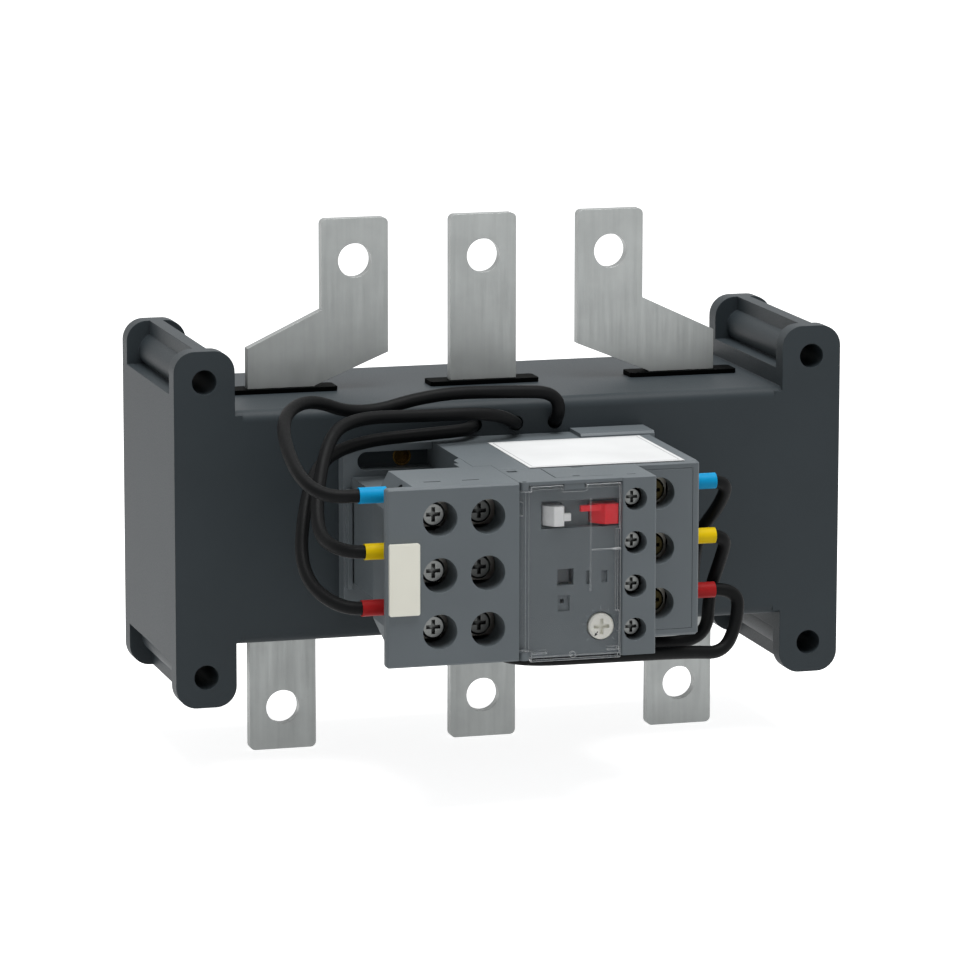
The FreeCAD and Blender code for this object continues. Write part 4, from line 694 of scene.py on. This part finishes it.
class RELAY_OT_terminals(Operator):
    """Finishes the terminal screws, clamps and link bars"""
    bl_idname = "relay.terminals"
    bl_label = "Terminals"

    def execute(self, context):
        colours = context.scene.relay_colours
        # The screws below get painted shade in their slots and wells.
        zinc = plated_metal("screw_zinc", tuple(colours.screw), roughness=0.30, streak=0.25 * MM, shade_share=0.9)
        dress(zinc, "wire_side_screws", "aux_screws", "adapter_plate_screw", "relay_mount_screws")
        # Painted shade: the deeper pin-side screws get a darker copy of the screw zinc.
        shaded_zinc = plated_metal("deep_screw_zinc", scaled(tuple(colours.screw), 0.4), roughness=0.34,
                            streak=0.25 * MM, shade_share=0.9)
        dress(shaded_zinc, "pin_side_screws")
        # Painted shade: the main screws are darkened for the shade of their deep wells.
        dark = plated_metal("main_screw_plating", tuple(colours.main_screw), roughness=0.28,
                            streak=0.25 * MM, shade_share=0.9)
        dress(dark, "main_screws")
        clamp = plated_metal("clamp_zinc", tint(168, 166, 158), roughness=0.36, stretch=ALONG_X)
        dress(clamp, "aux_clamps", "main_clamps")
        link = plated_metal("link_tin", tint(180, 178, 172), roughness=0.34, stretch=ALONG_X)
        dress(link, "link_bars", "relay_pins")
        return {"FINISHED"}


class RELAY_OT_cover(Operator):
    """Finishes the clear hinged cover"""
    bl_idname = "relay.cover"
    bl_label = "Clear cover"

    def execute(self, context):
        dress(clear_plastic("cover_clear"), "clear_cover")
        return {"FINISHED"}


class RELAY_OT_buttons(Operator):
    """Finishes the reset and stop buttons"""
    bl_idname = "relay.buttons"
    bl_label = "Buttons"

    def execute(self, context):
        colours = context.scene.relay_colours
        reset = polished_plastic("reset_plastic", tuple(colours.reset), roughness=0.3, coat=0.15,
                                 specular=0.3)
        dress(reset, "reset_button")
        stop = polished_plastic("stop_plastic", tuple(colours.stop), roughness=0.3, coat=0.1, specular=0.2)
        dress(stop, "stop_button")
        return {"FINISHED"}


class RELAY_OT_dial(Operator):
    """Finishes the setting dial and adds its pointer and the plain scale round it"""
    bl_idname = "relay.dial"
    bl_label = "Setting dial"

    pointer_angle: FloatProperty(name="Pointer angle", subtype="ANGLE", default=math.radians(142),
                                 description="Where the pointer stands, from straight up")
    marks: IntProperty(name="Marks", description="Number of marks on the scale", min=2, default=11)

    def execute(self, context):
        sizes = context.scene.relay_sizes
        plastic = moulded_plastic("dial_plastic", tuple(context.scene.relay_colours.dial), roughness=0.38,
                                  edge_highlight_gain=1.08, grain=0.4)
        dress(plastic, "setting_dial")
        low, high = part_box("setting_dial")
        radius = (high.z - low.z) / 2
        centre = (low.x + radius, low.z + radius)
        front = low.y
        dark = moulded_plastic("pointer_ink", tint(30, 31, 32), roughness=0.5, edge_highlight_gain=1.0, grain=0.3)
        arrow = turned([(x * MM, z * MM) for x, z in POINTER_OUTLINE], self.pointer_angle, centre)

        def pointer(shape):
            add_plate(shape, arrow, front - sizes.print_thickness, front)

        mesh_object("dial_pointer", pointer, dark, "dial")
        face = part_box("relay_face")[0].y + FACE_RECESS
        pale = moulded_plastic("scale_ink", tint(150, 154, 158), roughness=0.5, edge_highlight_gain=1.0, grain=0.3)
        inner = sizes.dial_mark_radius

        def scale(shape):
            for mark in range(self.marks):
                angle = math.radians(-SCALE_SWEEP / 2 + SCALE_SWEEP * mark / (self.marks - 1))
                outer = inner + (LONG_MARK if mark % LONG_MARK_EVERY == 0 else SHORT_MARK)
                line = [(-MARK_HALF_WIDTH, inner), (MARK_HALF_WIDTH, inner),
                        (MARK_HALF_WIDTH, outer), (-MARK_HALF_WIDTH, outer)]
                add_plate(shape, turned(line, angle, centre), face - sizes.print_thickness, face)

        mesh_object("dial_scale", scale, pale, "main")
        return {"FINISHED"}


class RELAY_OT_trip_train(Operator):
    """Finishes the bimetal strips, heaters, slider, rocker and contacts inside the relay"""
    bl_idname = "relay.trip_train"
    bl_label = "Trip train"

    def execute(self, context):
        strip = plated_metal("bimetal_metal", tint(170, 160, 142), roughness=0.34, stretch=ALONG_STRIP)
        dress(strip, "bimetal_blue", "bimetal_yellow", "bimetal_red", "compensating_strip")
        heater = plated_metal("heater_metal", tint(140, 126, 110), roughness=0.4, stretch=ALONG_Y)
        dress(heater, "heater_coils")
        slider = moulded_plastic("slider_plastic", tint(224, 220, 204), roughness=0.4, edge_highlight_gain=1.1,
                                 grain=0.5)
        dress(slider, "trip_slider")
        rocker = moulded_plastic("rocker_plastic", tint(64, 68, 72), roughness=0.4, edge_highlight_gain=1.3, grain=0.5)
        dress(rocker, "trip_rocker")
        pin = plated_metal("pin_steel", tint(176, 176, 176), roughness=0.25, stretch=ALONG_X, streak=0.2 * MM)
        dress(pin, "rocker_pin")
        bronze = plated_metal("contact_bronze", tint(200, 168, 110), roughness=0.3, stretch=ALONG_X,
                              streak=0.25 * MM)
        dress(bronze, "contact_leaves")
        return {"FINISHED"}


class RELAY_OT_stage(Operator):
    """Sets up the pale floor, the soft lamps, the surroundings and the camera"""
    bl_idname = "relay.stage"
    bl_label = "Stage"

    def execute(self, context):
        settings = context.scene.relay_stage
        context.scene.view_settings.view_transform = "Standard"
        self.add_floor(context, settings)
        self.add_world(context, settings)
        self.add_lamp(context, "key_lamp", settings.key_power, KEY_SIZE, KEY_PLACE)
        self.add_lamp(context, "fill_lamp", settings.fill_power, FILL_SIZE, FILL_PLACE)
        self.add_camera(context, settings)
        return {"FINISHED"}

    def add_floor(self, context, settings):
        """Wide plate just under the bars; it shows white to the camera, with a breath of shadow."""
        material, tree, shader = new_material("floor_paper")
        colour = tuple(settings.floor_colour)
        paper = noise(tree, stretched_place(tree), 30 * MM, 3)
        tree.links.new(ramp(tree, paper, 0.3, 0.7, scaled(colour, 0.99), colour), shader.inputs["Base Color"])
        shader.inputs["Roughness"].default_value = 0.9
        shader.inputs["Specular IOR Level"].default_value = 0.1
        glow = maths(tree, "MULTIPLY", seen_directly(tree), FLOOR_GLOW)
        tree.links.new(glow, shader.inputs["Emission Strength"])
        shader.inputs["Emission Color"].default_value = WHITE
        mesh = bpy.data.meshes.new("floor")
        level = cad_low.z - FLOOR_GAP
        square = [(-1, -1), (1, -1), (1, 1), (-1, 1)]
        corners = [(x * FLOOR_REACH, y * FLOOR_REACH, level) for x, y in square]
        mesh.from_pydata(corners, [], [(0, 1, 2, 3)])
        mesh.materials.append(material)
        floor = bpy.data.objects.new("floor", mesh)
        context.scene.collection.objects.link(floor)

    def add_world(self, context, settings):
        """White to the camera, in reflections and through clear plastic, and a soft grey light on pieces."""
        world = bpy.data.worlds.new("surroundings")
        context.scene.world = world
        world.use_nodes = True
        tree = world.node_tree
        tree.nodes.clear()
        output = tree.nodes.new("ShaderNodeOutputWorld")
        white = tree.nodes.new("ShaderNodeBackground")
        white.inputs["Color"].default_value = WHITE
        white.inputs["Strength"].default_value = 1.0
        even = tree.nodes.new("ShaderNodeBackground")
        even.inputs["Color"].default_value = AMBIENT_COLOUR
        even.inputs["Strength"].default_value = settings.ambient
        mix = tree.nodes.new("ShaderNodeMixShader")
        tree.links.new(seen_directly(tree), mix.inputs[0])
        tree.links.new(even.outputs[0], mix.inputs[1])
        tree.links.new(white.outputs[0], mix.inputs[2])
        tree.links.new(mix.outputs[0], output.inputs["Surface"])

    def add_lamp(self, context, name, power, size, place):
        """Round area lamp that points at the object."""
        lamp = bpy.data.lights.new(name, "AREA")
        lamp.energy = power
        lamp.shape = "DISK"
        lamp.size = size
        made = bpy.data.objects.new(name, lamp)
        made.location = place
        aim = Vector(LAMP_AIM) - Vector(place)
        made.rotation_euler = aim.to_track_quat("-Z", "Y").to_euler()
        context.scene.collection.objects.link(made)

    def add_camera(self, context, settings):
        """Long lens from the front left and a little above."""
        camera = bpy.data.cameras.new("camera")
        camera.sensor_width = 36.0
        camera.lens = settings.lens
        camera.clip_end = 100.0
        made = bpy.data.objects.new("camera", camera)
        place = Matrix.Translation(CAMERA_PLACE)
        heading = Matrix.Rotation(CAMERA_HEADING, 4, "Z")
        tilt = Matrix.Rotation(CAMERA_TILT, 4, "X")
        roll = Matrix.Rotation(CAMERA_ROLL, 4, "Z")
        made.matrix_world = place @ heading @ tilt @ roll
        context.scene.collection.objects.link(made)
        context.scene.camera = made


class RELAY_PT_build(Panel):
    """Steps that dress the relay, with their sizes and colours"""
    bl_idname = "RELAY_PT_build"
    bl_label = "Thermal Overload Relay"
    bl_space_type = "VIEW_3D"
    bl_region_type = "UI"
    bl_category = "Relay"

    def draw(self, context):
        layout = self.layout
        for step in STEPS:
            layout.operator(step.bl_idname)
        scene = context.scene
        groups = (
            ("Sizes", scene.relay_sizes), ("Colours", scene.relay_colours), ("Stage", scene.relay_stage),
        )
        for label, group in groups:
            box = layout.box()
            box.label(text=label)
            for name in group.__annotations__:
                box.prop(group, name)


STEPS = (
    RELAY_OT_stage, RELAY_OT_leads, RELAY_OT_block, RELAY_OT_bars, RELAY_OT_transformers,
    RELAY_OT_housings, RELAY_OT_plates, RELAY_OT_terminals, RELAY_OT_cover, RELAY_OT_buttons,
    RELAY_OT_dial, RELAY_OT_trip_train,
)
CLASSES = (RelaySizes, RelayColours, StageSettings) + STEPS + (RELAY_PT_build,)


def register():
    for item in CLASSES:
        bpy.utils.register_class(item)
    bpy.types.Scene.relay_sizes = PointerProperty(type=RelaySizes)
    bpy.types.Scene.relay_colours = PointerProperty(type=RelayColours)
    bpy.types.Scene.relay_stage = PointerProperty(type=StageSettings)


def unregister():
    del bpy.types.Scene.relay_stage
    del bpy.types.Scene.relay_colours
    del bpy.types.Scene.relay_sizes
    for item in reversed(CLASSES):
        bpy.utils.unregister_class(item)


def main():
    """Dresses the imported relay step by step."""
    register()
    bpy.ops.relay.stage()
    bpy.ops.relay.leads()
    bpy.ops.relay.block()
    bpy.ops.relay.bars()
    bpy.ops.relay.transformers()
    bpy.ops.relay.housings()
    bpy.ops.relay.plates()
    bpy.ops.relay.terminals()
    bpy.ops.relay.cover()
    bpy.ops.relay.buttons()
    bpy.ops.relay.dial()
    bpy.ops.relay.trip_train()


if __name__ == "__main__":
    main()
